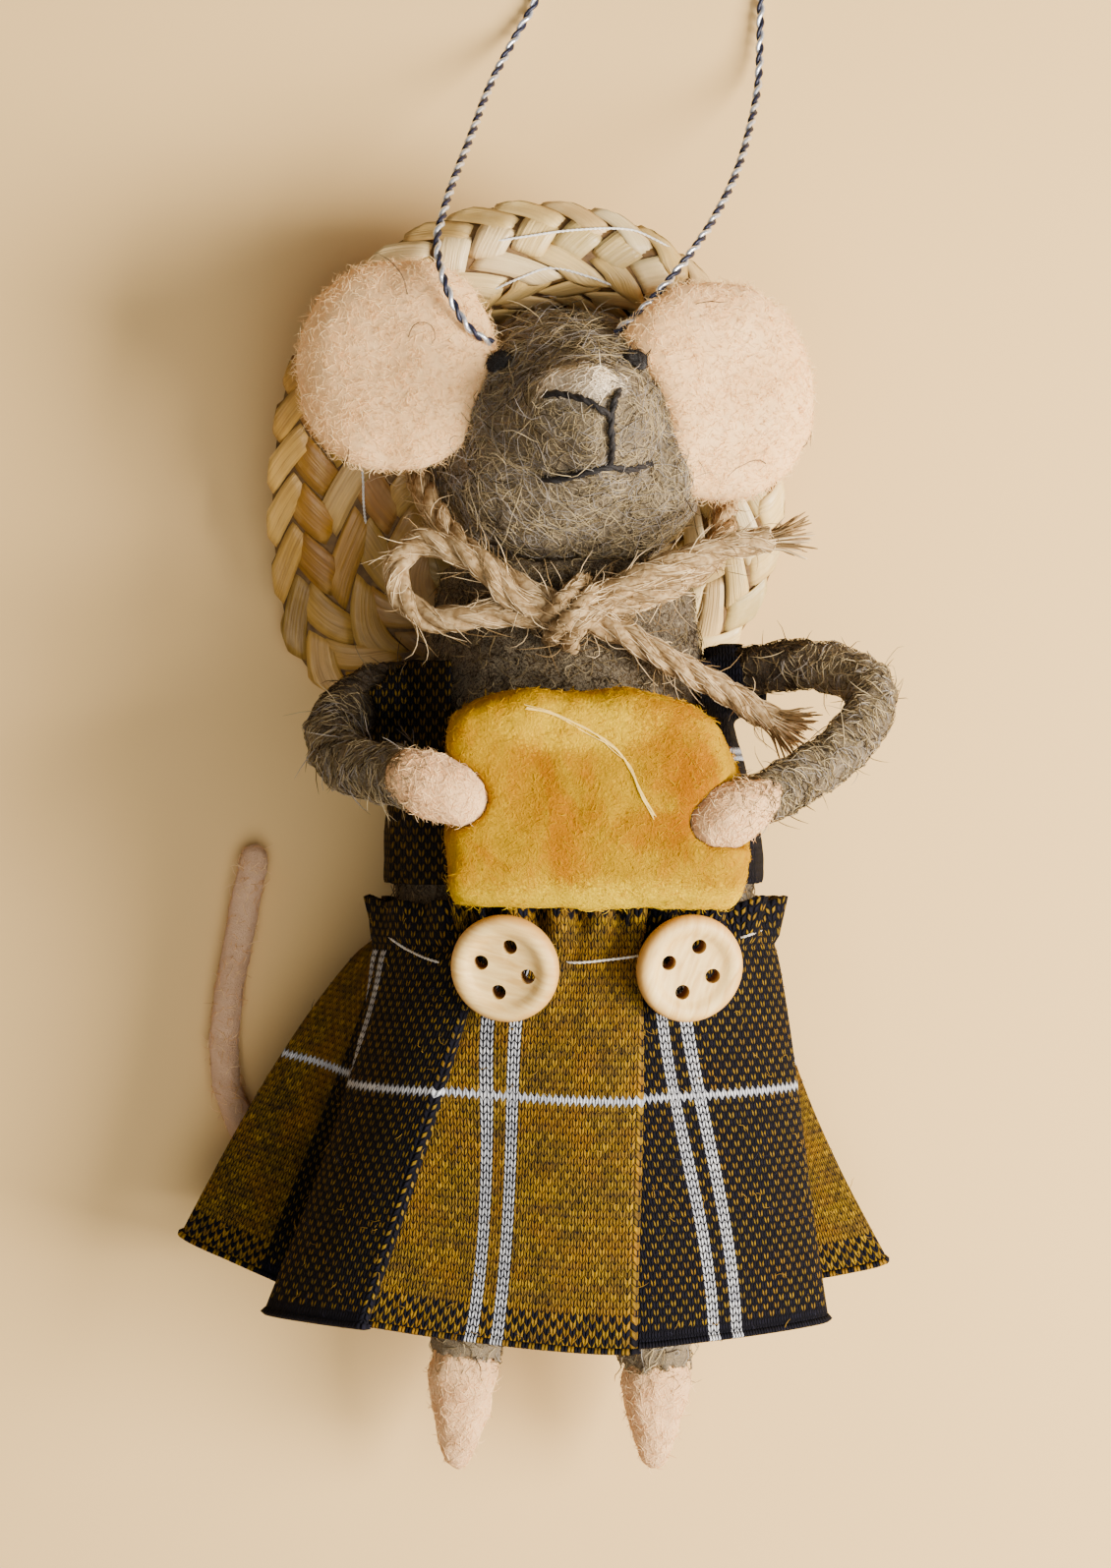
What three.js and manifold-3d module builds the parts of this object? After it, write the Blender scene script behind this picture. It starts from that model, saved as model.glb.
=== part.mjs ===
// A felted mouse ornament in a straw hat and a knitted dress, holding a wedge of cheese.
// Millimetres. It lies on its back: +Z is its front, +Y points to the head, z = 0 is the surface.
import * as THREE from "three";
import { mergeVertices } from "three/addons/utils/BufferGeometryUtils.js";
import Module from "manifold-3d";

const wasm = await Module();
wasm.setup();

// Clearance and material thicknesses
const gap = 0.3; // kept between pieces that touch
const cloth = 1.1; // knitted fabric
const straw = 1.4; // plaited straw
const twine = 3.2; // jute, across
const thread = 1.0; // black mouth thread, across
const cordWidth = 1.05; // silver cord, across

// Head and face
const headRadius = 15.8;
const headX = 3.1;
const headY = 45.8;
const snoutRadius = 6.6;
const snoutReach = 20; // from the head's centre to the snout's, along the front
const earWidth = 23.6;
const earThickness = 7;
const eyeLength = 3.5;

// Torso, a pear on its back
const torsoLength = 72;
const torsoTop = 32; // the neck, inside the head
const torsoWidth = 42.6;
const torsoDepth = 41.6;

// Limbs
const armRadius = 3.3;
const handRadius = 3.8;
const legRadius = 4.9;
const footLength = 12.4;
const ankleY = -63.7;
const tailRadius = 1.9;

// Hat
const crownFlat = 13; // radius of the crown's flat top, which lies on the surface
const crownMouth = 20; // radius where the crown turns into the brim
const brimRadius = 29.3;
const brimRise = 20; // how much higher the brim is above the head than behind the shoulders
const brimRoll = 2.6; // how far the outermost row turns back

// Dress
const cinchY = -12.6; // the line where the skirt is gathered
const frillLength = 5.2;
const frillLean = 1.4; // how far the frill leans out at the folds
const bodiceTop = 20.5;
const bodiceEnd = -5.5;
const sleeveLength = { left: 5, right: 3.3 }; // along the arm, past its own radius

// Cheese
const cheeseWidth = 34;
const cheeseHeight = 25;
const cheeseDepth = 10.5;
const cheeseStand = 9.9; // how far its front stands out beyond the torso
const cheeseFront = torsoDepth + cheeseStand;
const cheeseX = 6.6;
const cheeseY = 4.2;
// Each hand's centre: out from the cheese's side edge, up from its middle and back from its front
const grip = { left: { out: 1.2, up: 1.6, back: 1.6 }, right: { out: -1.6, up: -1.2, back: 2.4 } };

// Buttons
const buttonWidth = 12.4;
const buttonThickness = 2.9;
const buttonHole = 1.7;
const buttonHolePitch = 3.9;

// What the sizes above settle
const backRest = cloth + gap; // the torso's back, on the skirt's back
const headZ = straw + gap + twine + gap + headRadius;
const head = new THREE.Vector3(headX, headY, headZ);
const snout = head.clone().add(new THREE.Vector3(2.6, 2.2, snoutReach));

const rad = THREE.MathUtils.degToRad;
const spot = (x, y, z) => new THREE.Vector3(x, y, z);

// Solids and geometry
function toSolid(geometry) {
  const plain = geometry.clone();
  plain.deleteAttribute("normal");
  plain.deleteAttribute("uv");
  const merged = mergeVertices(plain, 1e-4);
  const vertProperties = merged.attributes.position.array;
  const triVerts = new Uint32Array(merged.index.array);
  return new wasm.Manifold(new wasm.Mesh({ numProp: 3, vertProperties, triVerts }));
}

function toGeometry(solid) {
  const mesh = solid.getMesh();
  const geometry = new THREE.BufferGeometry();
  geometry.setAttribute("position", new THREE.BufferAttribute(mesh.vertProperties, 3));
  geometry.setIndex(new THREE.BufferAttribute(mesh.triVerts, 1));
  geometry.computeVertexNormals();
  return geometry;
}

const join = (solids) => solids.reduce((all, one) => all.add(one));

// Cuts solids away, and with them crumbs too small to be a piece.
const crumb = 1;
function carve(solid, cutters) {
  const left = cutters.reduce((rest, cutter) => rest.subtract(cutter), solid);
  return join(left.decompose().filter((body) => body.volume() > crumb));
}

function geometryOf(points, triangles) {
  const geometry = new THREE.BufferGeometry().setFromPoints(points);
  geometry.setIndex(triangles.flat());
  return geometry;
}

// A solid through closed rings of points, each end closed by a fan to its middle.
function loft(rings) {
  const count = rings[0].length;
  const points = rings.flat();
  const triangles = [];
  for (let row = 0; row < rings.length - 1; row++) {
    for (let i = 0; i < count; i++) {
      const a = row * count + i;
      const b = row * count + ((i + 1) % count);
      triangles.push([a, b, a + count], [b, b + count, a + count]);
    }
  }
  const ends = [rings[0], rings[rings.length - 1]];
  ends.forEach((ring, end) => {
    const middle = ring.reduce((sum, p) => sum.add(p), spot(0, 0, 0)).divideScalar(count);
    const first = end ? (rings.length - 1) * count : 0;
    points.push(middle);
    for (let i = 0; i < count; i++) {
      const a = first + i;
      const b = first + ((i + 1) % count);
      triangles.push(end ? [a, b, points.length - 1] : [b, a, points.length - 1]);
    }
  });
  return toSolid(geometryOf(points, triangles));
}

// A sheet of even thickness over closed rings of points, open at the last ring. With a pole
// the first ring is closed by a fan, otherwise it is open too.
function shell(rings, thickness, pole) {
  const count = rings[0].length;
  const at = (row, i) => rings[row][(i + count) % count];
  const faces = [[], []];
  rings.forEach((ring, row) => {
    ring.forEach((p, i) => {
      const along = at(row, i + 1).clone().sub(at(row, i - 1));
      const before = row ? at(row - 1, i) : pole || p;
      const after = row < rings.length - 1 ? at(row + 1, i) : p;
      const normal = along.cross(after.clone().sub(before)).normalize();
      faces[0].push(p.clone().addScaledVector(normal, thickness / 2));
      faces[1].push(p.clone().addScaledVector(normal, -thickness / 2));
    });
  });
  const points = faces.flat();
  const inner = faces[0].length;
  const triangles = [];
  const quad = (a, b, c, d) => triangles.push([a, b, c], [b, d, c]);
  const last = (rings.length - 1) * count;
  for (let i = 0; i < count; i++) {
    const next = (i + 1) % count;
    for (let row = 0; row < rings.length - 1; row++) {
      const a = row * count + i;
      const b = row * count + next;
      quad(a, b, a + count, b + count);
      quad(inner + b, inner + a, inner + b + count, inner + a + count);
    }
    quad(last + i, last + next, inner + last + i, inner + last + next);
    if (!pole) quad(next, i, inner + next, inner + i);
  }
  if (pole) {
    points.push(pole.clone().add(spot(0, 0, -thickness / 2)));
    points.push(pole.clone().add(spot(0, 0, thickness / 2)));
    for (let i = 0; i < count; i++) {
      const next = (i + 1) % count;
      triangles.push([points.length - 2, next, i]);
      triangles.push([points.length - 1, inner + i, inner + next]);
    }
  }
  return toSolid(geometryOf(points, triangles));
}

// A ball whose surface point in each direction is given by a function of that direction.
function ball(centre, reach, around = 20, down = 12) {
  const geometry = new THREE.SphereGeometry(1, around, down);
  const position = geometry.attributes.position;
  const direction = new THREE.Vector3();
  for (let i = 0; i < position.count; i++) {
    direction.fromBufferAttribute(position, i).normalize();
    direction.multiplyScalar(reach(direction)).add(centre);
    position.setXYZ(i, direction.x, direction.y, direction.z);
  }
  return toSolid(geometry);
}

// A round limb along a curve, with a thickness that changes along it and round ends.
function limb(points, radii, grow = 0, steps = 12, sides = 12) {
  const path = new THREE.CatmullRomCurve3(points);
  const thickness = new THREE.CatmullRomCurve3(radii.map((r) => spot(r, 0, 0)));
  const frames = path.computeFrenetFrames(steps);
  const ring = (i, shift, share) => {
    const middle = path.getPointAt(i / steps).addScaledVector(frames.tangents[i], shift);
    const r = (thickness.getPoint(i / steps).x + grow) * share;
    return Array.from({ length: sides }, (_, k) => {
      const angle = (k / sides) * 2 * Math.PI;
      return middle
        .clone()
        .addScaledVector(frames.normals[i], r * Math.cos(angle))
        .addScaledVector(frames.binormals[i], r * Math.sin(angle));
    });
  };
  const endRings = [rad(15), rad(50)];
  const startRadius = radii[0] + grow;
  const endRadius = radii[radii.length - 1] + grow;
  const rings = [
    ...endRings.map((a) => ring(0, -startRadius * Math.cos(a), Math.sin(a))),
    ...Array.from({ length: steps + 1 }, (_, i) => ring(i, 0, 1)),
    ...endRings.toReversed().map((a) => ring(steps, endRadius * Math.cos(a), Math.sin(a))),
  ];
  return loft(rings);
}

// A strand of even thickness along a curve.
function strand(points, across, steps, sides = 8) {
  const section = new THREE.Shape(
    Array.from({ length: sides }, (_, k) => {
      const angle = (k / sides) * 2 * Math.PI;
      return new THREE.Vector2((across / 2) * Math.cos(angle), (across / 2) * Math.sin(angle));
    }),
  );
  const extrudePath = new THREE.CatmullRomCurve3(points);
  return toSolid(new THREE.ExtrudeGeometry(section, { steps, extrudePath, bevelEnabled: false }));
}

// The head: a ball and a snout that run into each other.
const snoutBlend = 5;

function headDistance(p, grow) {
  const axis = snout.clone().sub(head);
  const share = THREE.MathUtils.clamp(p.clone().sub(head).dot(axis) / axis.lengthSq(), 0, 1);
  const onAxis = head.clone().addScaledVector(axis, share);
  const width = THREE.MathUtils.lerp(headRadius * 0.82, snoutRadius, share);
  const ballDistance = p.distanceTo(head) - headRadius;
  const snoutDistance = p.distanceTo(onAxis) - width;
  const mix = THREE.MathUtils.clamp(0.5 + (ballDistance - snoutDistance) / (2 * snoutBlend), 0, 1);
  const blended = THREE.MathUtils.lerp(ballDistance, snoutDistance, mix);
  return blended - snoutBlend * mix * (1 - mix) - grow;
}

// How far along a ray from inside the head its surface lies.
function reachFrom(origin, direction, grow) {
  let near = 0;
  let far = headRadius * 4;
  for (let i = 0; i < 30; i++) {
    const middle = (near + far) / 2;
    if (headDistance(origin.clone().addScaledVector(direction, middle), grow) < 0) near = middle;
    else far = middle;
  }
  return near;
}

const headSolid = (grow = 0) => ball(head, (d) => reachFrom(head, d, grow), 26, 17);

// The point on the front of the face at x and y.
function onFace(x, y, height) {
  const origin = spot(x, y, head.z);
  return origin.addScaledVector(spot(0, 0, 1), reachFrom(origin, spot(0, 0, 1), height));
}

// Ears: thick discs, a little squarish, with a shallow dish in front.
const earPower = 2.3;

function ear(centre, width, height, lean, grow = 0) {
  const dish = 0.16;
  const turn = new THREE.Euler(lean.x, lean.y, 0);
  const flat = ball(
    spot(0, 0, 0),
    (d) => {
      const across = Math.abs(d.x / (width / 2 + grow)) ** earPower;
      const up = Math.abs(d.y / (height / 2 + grow)) ** earPower;
      const rim = across + up;
      const front = d.z > 0 ? 1 - dish * (1 - Math.min(1, rim * 400)) : 1;
      const through = Math.abs(d.z / (earThickness / 2 + grow)) ** earPower;
      return front * (rim + through) ** (-1 / earPower);
    },
    18,
    8,
  );
  const matrix = new THREE.Matrix4().makeRotationFromEuler(turn).setPosition(centre);
  return flat.transform(matrix.toArray());
}

const earHeight = headZ + 8;
const earLeftSolid = (grow) =>
  ear(spot(headX - 19.9, headY + 9.0, earHeight), earWidth, earWidth + 0.6, { x: -0.12, y: -0.2 }, grow);
const earRightSolid = (grow) =>
  ear(spot(headX + 16.8, headY + 5.9, earHeight), earWidth + 0.6, earWidth + 1.2, { x: -0.05, y: 0.22 }, grow);

// Eyes: flat ovals on the front of the head.
function eye(x, y, grow = 0) {
  const seat = onFace(x, y, gap);
  const outward = seat.clone().sub(head).normalize();
  const oval = new THREE.SphereGeometry(1, 8, 5);
  oval.scale(eyeLength / 2 + grow, eyeLength * 0.4 + grow, eyeLength * 0.36 + grow);
  const turn = new THREE.Quaternion().setFromUnitVectors(spot(0, 0, 1), outward);
  oval.applyQuaternion(turn).translate(seat.x, seat.y, seat.z);
  return carve(toSolid(oval), [headSolid(gap)]);
}
const eyeLeftSolid = (grow) => eye(headX - 7.85, headY + 8.9, grow);
const eyeRightSolid = (grow) => eye(headX + 7.65, headY + 8.9, grow);

// Mouth: thread laid over the snout, as places on the face around the middle of the mouth.
const mouthX = headX + 3.7;
const mouthY = headY + 1.1;
const stitchLift = gap + thread / 2;
const mouthStrokes = [
  [[-6.4, 3.1], [-3.9, 2.9], [-1.9, 2.2], [0.7, 0.6]],
  [[2.0, 3.4], [1.3, 1.0], [1.1, -0.9], [1.0, -5.0]],
  [[-6.5, -5.9], [-4.2, -6.1], [-1.7, -5.6], [1.0, -5.0], [3.3, -5.0], [5.3, -4.3]],
];

function mouth() {
  const strokes = mouthStrokes.map((places) => {
    const route = places.map(([x, y]) => onFace(mouthX + x, mouthY + y, stitchLift));
    return strand(route, thread, 7, 6);
  });
  return carve(join(strokes), [headSolid(gap)]);
}

// Torso: rings of ellipses from the neck to the seat, flattened where it lies.
// Each station gives shares of the width and depth, and how far its back is off the surface.
const torsoStations = [
  { x: 2.9, width: 0.67, depth: 0.66, lift: 0.14 },
  { x: 2.7, width: 0.785, depth: 0.725, lift: 0.11 },
  { x: 3.2, width: 0.92, depth: 0.9, lift: 0.045 },
  { x: 3.9, width: 0.995, depth: 0.985, lift: 0 },
  { x: 4.1, width: 0.985, depth: 0.965, lift: 0 },
  { x: 4.1, width: 0.84, depth: 0.82, lift: 0.03 },
  { x: 4.0, width: 0.36, depth: 0.36, lift: 0.25 },
];
const torsoForm = new THREE.CatmullRomCurve3(
  torsoStations.map((s) => spot(s.width, s.depth, s.lift)),
);
const torsoLine = new THREE.CatmullRomCurve3(torsoStations.map((s) => spot(s.x, 0, 0)));

// The ellipse of the torso at a height along it.
function torsoSection(y) {
  const share = THREE.MathUtils.clamp((torsoTop - y) / torsoLength, 0, 1);
  const form = torsoForm.getPoint(share);
  const back = backRest + Math.max(0, form.z) * torsoDepth;
  const deep = form.y * torsoDepth;
  return {
    x: torsoLine.getPoint(share).x,
    z: back + deep / 2,
    halfWidth: (form.x * torsoWidth) / 2,
    halfDepth: deep / 2,
    back,
  };
}

// A point on the torso, at an angle round it from +X, standing out by some height.
function onTorso(y, angle, height) {
  const section = torsoSection(y);
  const deeper = Math.sin(angle) < 0 ? 1.07 : 1;
  const x = section.x + (section.halfWidth + height) * Math.cos(angle);
  const z = section.z + (section.halfDepth * deeper + height) * Math.sin(angle);
  return spot(x, y, Math.max(z, section.back - height));
}

function torsoSolid(grow = 0, rows = 9, around = 20) {
  const top = torsoTop + grow;
  const length = torsoLength + 2 * grow;
  const rings = Array.from({ length: rows + 1 }, (_, row) => {
    const y = top - (length * row) / rows;
    return Array.from({ length: around }, (_, i) => onTorso(y, (i / around) * 2 * Math.PI, grow));
  });
  return loft(rings);
}

// Hat: a low crown round the back of the head, and a brim of straw rows. The outline is the
// radius every 22.5 degrees from +X, as shares of the brim's radius.
const hatX = headX - 5.2;
const hatY = headY - 0.4;
const brimOutline = [
  1.05, 1.04, 1.02, 1.02, 1.0, 0.99, 0.99, 1.01, 1.03, 1.12, 1.26, 1.08, 1.0, 1.06, 1.15, 1.12,
];
const hatSegments = 28;
const rowRelief = 0.5; // how much the middle of each row of straw stands proud

function brimReach(angle) {
  const closed = brimOutline.map((r) => spot(r, 0, 0));
  const curve = new THREE.CatmullRomCurve3(closed, true);
  return curve.getPoint(((angle / (2 * Math.PI)) % 1 + 1) % 1).x * brimRadius;
}

// The height of the brim, low behind the shoulders and high above the head.
function brimHeight(x, y) {
  const share = THREE.MathUtils.smoothstep(y, hatY - 0.95 * brimRadius, hatY + 0.9 * brimRadius);
  const curl = 0.22 * Math.max(0, Math.abs(x - hatX) - 0.6 * brimRadius);
  return straw / 2 + 1.6 + brimRise * share + curl * (1 - share);
}

// Where the hat's middle surface lies, from the crown's centre, 0, to the brim's edge, 1.
function hatPoint(share, angle) {
  const out = spot(Math.cos(angle), Math.sin(angle), 0);
  const crownCentre = spot(headX, hatY + 0.6, straw / 2);
  const flat = crownCentre.clone().addScaledVector(out, crownFlat);
  const rim = crownCentre.clone().addScaledVector(out, crownMouth);
  rim.z = brimHeight(rim.x, rim.y);
  if (share <= 0.3) return crownCentre.lerp(flat, share / 0.3);
  if (share <= 0.5) {
    const climb = (share - 0.3) / 0.2;
    const p = flat.clone().lerp(rim, climb);
    p.z = THREE.MathUtils.lerp(flat.z, rim.z, climb ** 1.15);
    return p;
  }
  const along = (share - 0.5) / 0.5;
  const edge = spot(hatX, hatY, 0).addScaledVector(out, brimReach(angle));
  const p = spot(rim.x, rim.y, 0).lerp(edge, along);
  const roll = brimRoll * THREE.MathUtils.smoothstep(along, 0.62, 1);
  const rows = rowRelief * Math.abs(Math.sin(along * Math.PI * 1.5));
  p.z = Math.max(brimHeight(p.x, p.y) + rows - roll, straw / 2);
  return p;
}

function hatSolid(grow = 0) {
  const shares = [0.24, 0.3, 0.4, 0.5, 0.58, 0.67, 0.75, 0.84, 0.92, 1];
  const rings = shares.map((share) =>
    Array.from({ length: hatSegments }, (_, i) => hatPoint(share, (i / hatSegments) * 2 * Math.PI)),
  );
  return shell(rings, straw + 2 * grow, hatPoint(0, 0));
}

// Twine: the tie from the knot round the neck and behind the head, the bow's loop, two tails.
const twineZ = headZ + 16;
const knot = spot(3.4, 25.8, twineZ + 0.4);
const tieRoute = [
  knot,
  spot(-4.2, 29.6, twineZ - 0.8),
  spot(-10.6, 35.2, twineZ - 7),
  spot(-14.0, 41.2, twineZ - 13.4),
  spot(-14.0, 44.6, twineZ - 22),
  spot(-8.2, 46.0, twineZ - 30.4),
  spot(3.1, 46.2, straw + gap + twine / 2),
  spot(14.4, 46.0, twineZ - 30.4),
  spot(20.6, 43.2, twineZ - 22),
  spot(21.6, 37.4, twineZ - 14),
  spot(19.2, 31.6, twineZ - 7.5),
  spot(14.2, 28.6, twineZ - 2.4),
  spot(8.4, 26.8, twineZ + 0.2),
  knot,
];
const loopRoute = [
  knot,
  spot(-3.0, 27.2, twineZ + 1.1),
  spot(-6.5, 31.0, twineZ + 0.9),
  spot(-10.0, 32.8, twineZ - 0.4),
  spot(-13.4, 33.9, twineZ - 1.4),
  spot(-15.8, 32.3, twineZ - 2.0),
  spot(-16.6, 29.6, twineZ - 2.2),
  spot(-15.1, 26.6, twineZ - 2.0),
  spot(-12.3, 25.0, twineZ - 1.4),
  spot(-8.8, 25.2, twineZ - 0.8),
  spot(-4.4, 25.6, twineZ - 0.6),
  spot(0.6, 25.4, twineZ - 0.2),
];
const upperTail = [
  spot(4.6, 26.2, twineZ + 0.6),
  spot(9.6, 28.8, twineZ + 1.6),
  spot(13.6, 30.6, twineZ + 1.8),
  spot(17.7, 32.1, twineZ + 1.4),
  spot(21.7, 33.4, twineZ + 0.6),
  spot(26.0, 34.4, twineZ - 0.4),
  spot(30.4, 34.6, twineZ - 1.2),
];
const lowerTail = [
  spot(5.0, 25.0, twineZ + 0.5),
  spot(9.6, 23.2, twineZ + 0.9),
  spot(13.6, 20.8, twineZ + 0.7),
  spot(17.7, 18.6, twineZ - 0.2),
  spot(21.6, 16.5, twineZ - 1.0),
  spot(24.6, 14.5, twineZ - 1.6),
  spot(27.4, 13.0, twineZ - 2.0),
];

function twineSolid(grow = 0) {
  const across = twine + 2 * grow;
  const knotBall = new THREE.SphereGeometry(1, 9, 6);
  knotBall.scale(across * 0.95, across * 0.8, across * 0.72).translate(knot.x + 0.4, knot.y, knot.z);
  return join([
    strand(tieRoute, across, 24, 6),
    strand(loopRoute, across, 13, 6),
    strand(upperTail, across, 5, 6),
    strand(lowerTail, across, 5, 6),
    toSolid(knotBall),
  ]);
}

// Hanging cord, from the head over the left ear, round a loop laid on the surface and back.
const cordRoute = [
  spot(-5.6, 57.0, 32.0),
  spot(-7.6, 58.0, 33.6),
  spot(-9.3, 60.0, 34.2),
  spot(-11.0, 63.7, 34.0),
  spot(-12.0, 68.7, 31.4),
  spot(-11.4, 72.3, 28.2),
  spot(-10.6, 75.9, 24.0),
  spot(-8.4, 83.5, 14.5),
  spot(-6.2, 91.0, 6.0),
  spot(-3.5, 97.0, 1.8),
  spot(-0.7, 102.3, 0.7),
  spot(3.5, 113.0, 0.6),
  spot(10.2, 122.6, 0.6),
  spot(18.6, 126.6, 0.6),
  spot(25.2, 121.6, 0.6),
  spot(27.4, 111.8, 0.6),
  spot(26.9, 102.3, 0.7),
  spot(26.5, 92.1, 2.6),
  spot(25.3, 85.8, 7.6),
  spot(23.3, 79.1, 14.6),
  spot(20.4, 72.8, 21.4),
  spot(17.5, 68.1, 26.0),
  spot(14.3, 63.9, 29.2),
  spot(11.4, 60.7, 30.6),
  spot(8.6, 58.4, 30.2),
];

const cordSolid = (grow = 0) => strand(cordRoute, cordWidth + 2 * grow, 54);

// Arms: from the shoulder out to the elbow and back to the hand on the cheese.
const palmAt = (side, { out, up, back }) =>
  spot(cheeseX + side * (cheeseWidth / 2 + out), cheeseY + up, cheeseFront - back);
const handLeft = palmAt(-1, grip.left);
const handRight = palmAt(1, grip.right);
const armLeftRoute = [
  spot(-13.0, 16.6, 22),
  spot(-19.4, 16.8, 24.5),
  spot(-23.8, 12.6, 30),
  spot(-22.0, 8.6, 38),
  spot(-16.6, 7.1, 45),
  handLeft,
];
const armRightRoute = [
  spot(17.0, 17.0, 21),
  spot(24.6, 19.4, 24.5),
  spot(32.8, 19.8, 28.5),
  spot(38.0, 16.8, 33),
  spot(35.4, 11.2, 39),
  spot(28.8, 6.4, 45),
  handRight,
];
const handSolid = (centre, long, turn, grow = 0) => {
  const tip = spot(long * Math.cos(turn), long * Math.sin(turn), 0);
  const palm = handRadius - 0.2;
  return limb([centre.clone().sub(tip), centre, centre.clone().add(tip)], [palm, handRadius, palm], grow, 3, 10);
};
const handLeftSolid = (grow) => handSolid(handLeft, 2.4, rad(-25), grow);
const handRightSolid = (grow) => handSolid(handRight, 2.2, rad(208), grow);
const armSolid = (route, grow = 0) => {
  const thicker = route === armLeftRoute ? 1.15 : 1;
  const radii = route.map(() => armRadius * thicker);
  return limb(route, radii, grow, 9, 9);
};

// Cheese: a wedge with rounded edges, its lower face sloping back, on the belly and bodice.
const cheeseEdge = 2.6; // how far its edges are rounded
const cheeseSlope = 0.42; // how far the lower face runs back for each millimetre of depth
// Corners of the front as shares of its width and height, from the middle.
const cheeseCorners = [
  [-0.5, -0.44], [-0.5, 0.34], [-0.41, 0.46], [-0.24, 0.5], [-0.05, 0.475], [0.16, 0.5],
  [0.33, 0.41], [0.42, 0.26], [0.47, 0.05], [0.5, -0.22], [0.48, -0.4], [0.3, -0.46], [-0.2, -0.5],
];

function cheeseSolid(grow = 0) {
  const edge = cheeseEdge - grow;
  const wide = cheeseWidth - 2 * edge;
  const high = cheeseHeight - 2 * edge;
  const corners = cheeseCorners.map(([x, y]) => new THREE.Vector2(x * wide, y * high));
  const front = new THREE.Shape(new THREE.SplineCurve([...corners, corners[0]]).getPoints(22).slice(0, -1));
  const geometry = new THREE.ExtrudeGeometry(front, {
    depth: cheeseDepth - cheeseEdge,
    bevelThickness: cheeseEdge,
    bevelSize: cheeseEdge,
    bevelSegments: 2,
    curveSegments: 1,
  });
  const position = geometry.attributes.position;
  for (let i = 0; i < position.count; i++) {
    const depth = cheeseDepth - position.getZ(i);
    const low = THREE.MathUtils.smoothstep(-position.getY(i), 0, cheeseHeight / 2);
    const y = position.getY(i) - (depth - cheeseDepth / 2) * cheeseSlope * low;
    position.setY(i, y);
  }
  geometry.translate(cheeseX, cheeseY, cheeseFront - cheeseDepth);
  return toSolid(geometry);
}

// Bodice: a skin of cloth on the torso with a deep round neck and two cap sleeves.
const neckHalfWidth = 14.3;
const neckDepth = 19;

function bodiceSolid() {
  const length = bodiceTop - bodiceEnd;
  const band = new THREE.BoxGeometry(torsoWidth * 2, length, torsoDepth * 3);
  band.translate(torsoStations[1].x, bodiceEnd + length / 2, torsoDepth / 2);
  const skin = torsoSolid(gap + cloth).intersect(toSolid(band));
  const sleeve = (route, reach) => {
    const start = route[0].clone().lerp(route[1], 0.3);
    const way = route[2].clone().sub(start).normalize();
    const end = start.clone().addScaledVector(way, reach + armRadius);
    const wide = armRadius + gap + cloth;
    const tube = limb([start, start.clone().lerp(end, 0.5), end], [wide, wide, wide * 0.9], 0, 2, 9);
    return carve(tube, [cuffBeyond(end, way, wide)]);
  };
  const sleeves = [sleeve(armLeftRoute, sleeveLength.left), sleeve(armRightRoute, sleeveLength.right)];
  const arms = [armSolid(armLeftRoute, gap), armSolid(armRightRoute, gap)];
  const neck = new THREE.Shape();
  neck.moveTo(-neckHalfWidth, bodiceTop + 2);
  neck.lineTo(-neckHalfWidth, bodiceTop - neckDepth + neckHalfWidth);
  neck.absarc(0, bodiceTop - neckDepth + neckHalfWidth, neckHalfWidth, Math.PI, 2 * Math.PI);
  neck.lineTo(neckHalfWidth, bodiceTop + 2);
  const opening = new THREE.ExtrudeGeometry(neck, {
    depth: torsoDepth,
    bevelEnabled: false,
    curveSegments: 8,
  });
  opening.translate(torsoStations[2].x + 1, 0, torsoSection(bodiceTop).z + 1);
  const body = carve(skin, [toSolid(opening)]);
  return carve(join([body, ...sleeves]), [torsoSolid(gap), hatSolid(gap), ...arms]);
}

// The box that cuts a sleeve off square at its cuff.
function cuffBeyond(end, way, wide) {
  const box = new THREE.BoxGeometry(wide * 4, wide * 4, wide * 4);
  box.translate(0, 0, wide * 2);
  box.applyQuaternion(new THREE.Quaternion().setFromUnitVectors(spot(0, 0, 1), way));
  box.translate(end.x, end.y, end.z);
  return toSolid(box);
}

// Skirt: folds round the waist, each a line from the gathering to the hem. angle is round the
// torso from +X, out is how far the fold stands off the torso, and hem is where its lower end
// lies, measured from the middle of the hem's back.
const hemY = -55;
const hemHalfWidth = 43;
const hemHeight = 43.4;
const skirtFolds = [
  { angle: 18, out: 2.2, hem: [0.76, -0.5, 0.69] },
  { angle: 70.5, out: 0.2, hem: [0.262, -2.2, 0.935] },
  { angle: 71.5, out: 0.9, hem: [0.252, -2.4, 0.965] },
  { angle: 72.5, out: 1.7, hem: [0.246, -2.6, 1.0] },
  { angle: 113, out: 0.2, hem: [-0.448, -0.2, 0.85] },
  { angle: 114.5, out: 0.9, hem: [-0.455, -0.25, 0.88] },
  { angle: 116, out: 1.8, hem: [-0.465, -0.3, 0.915] },
  { angle: 170, out: 2.0, hem: [-0.74, 0.4, 0.67] },
  { angle: 180, out: 0.3, hem: [-0.67, 1.3, 0.3] },
  { angle: 196, out: 2.8, hem: [-1.0, 7.2, 0.21] },
  { angle: 214, out: 0.3, hem: [-0.76, 9.0, 0.128] },
  { angle: 232, out: 0.6, hem: [-0.44, 9.6, 0.12] },
  { angle: 252, out: 0, hem: [-0.16, 9.0, 0.03] },
  { angle: 270, out: 0, hem: [0.08, 8.4, 0] },
  { angle: 290, out: 0, hem: [0.34, 8.0, 0] },
  { angle: 312, out: 0.4, hem: [0.66, 6.8, 0.02] },
  { angle: 338, out: 3.0, hem: [0.955, 4.0, 0.22] },
  { angle: 358, out: 0.3, hem: [0.66, 1.0, 0.34] },
];
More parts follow.
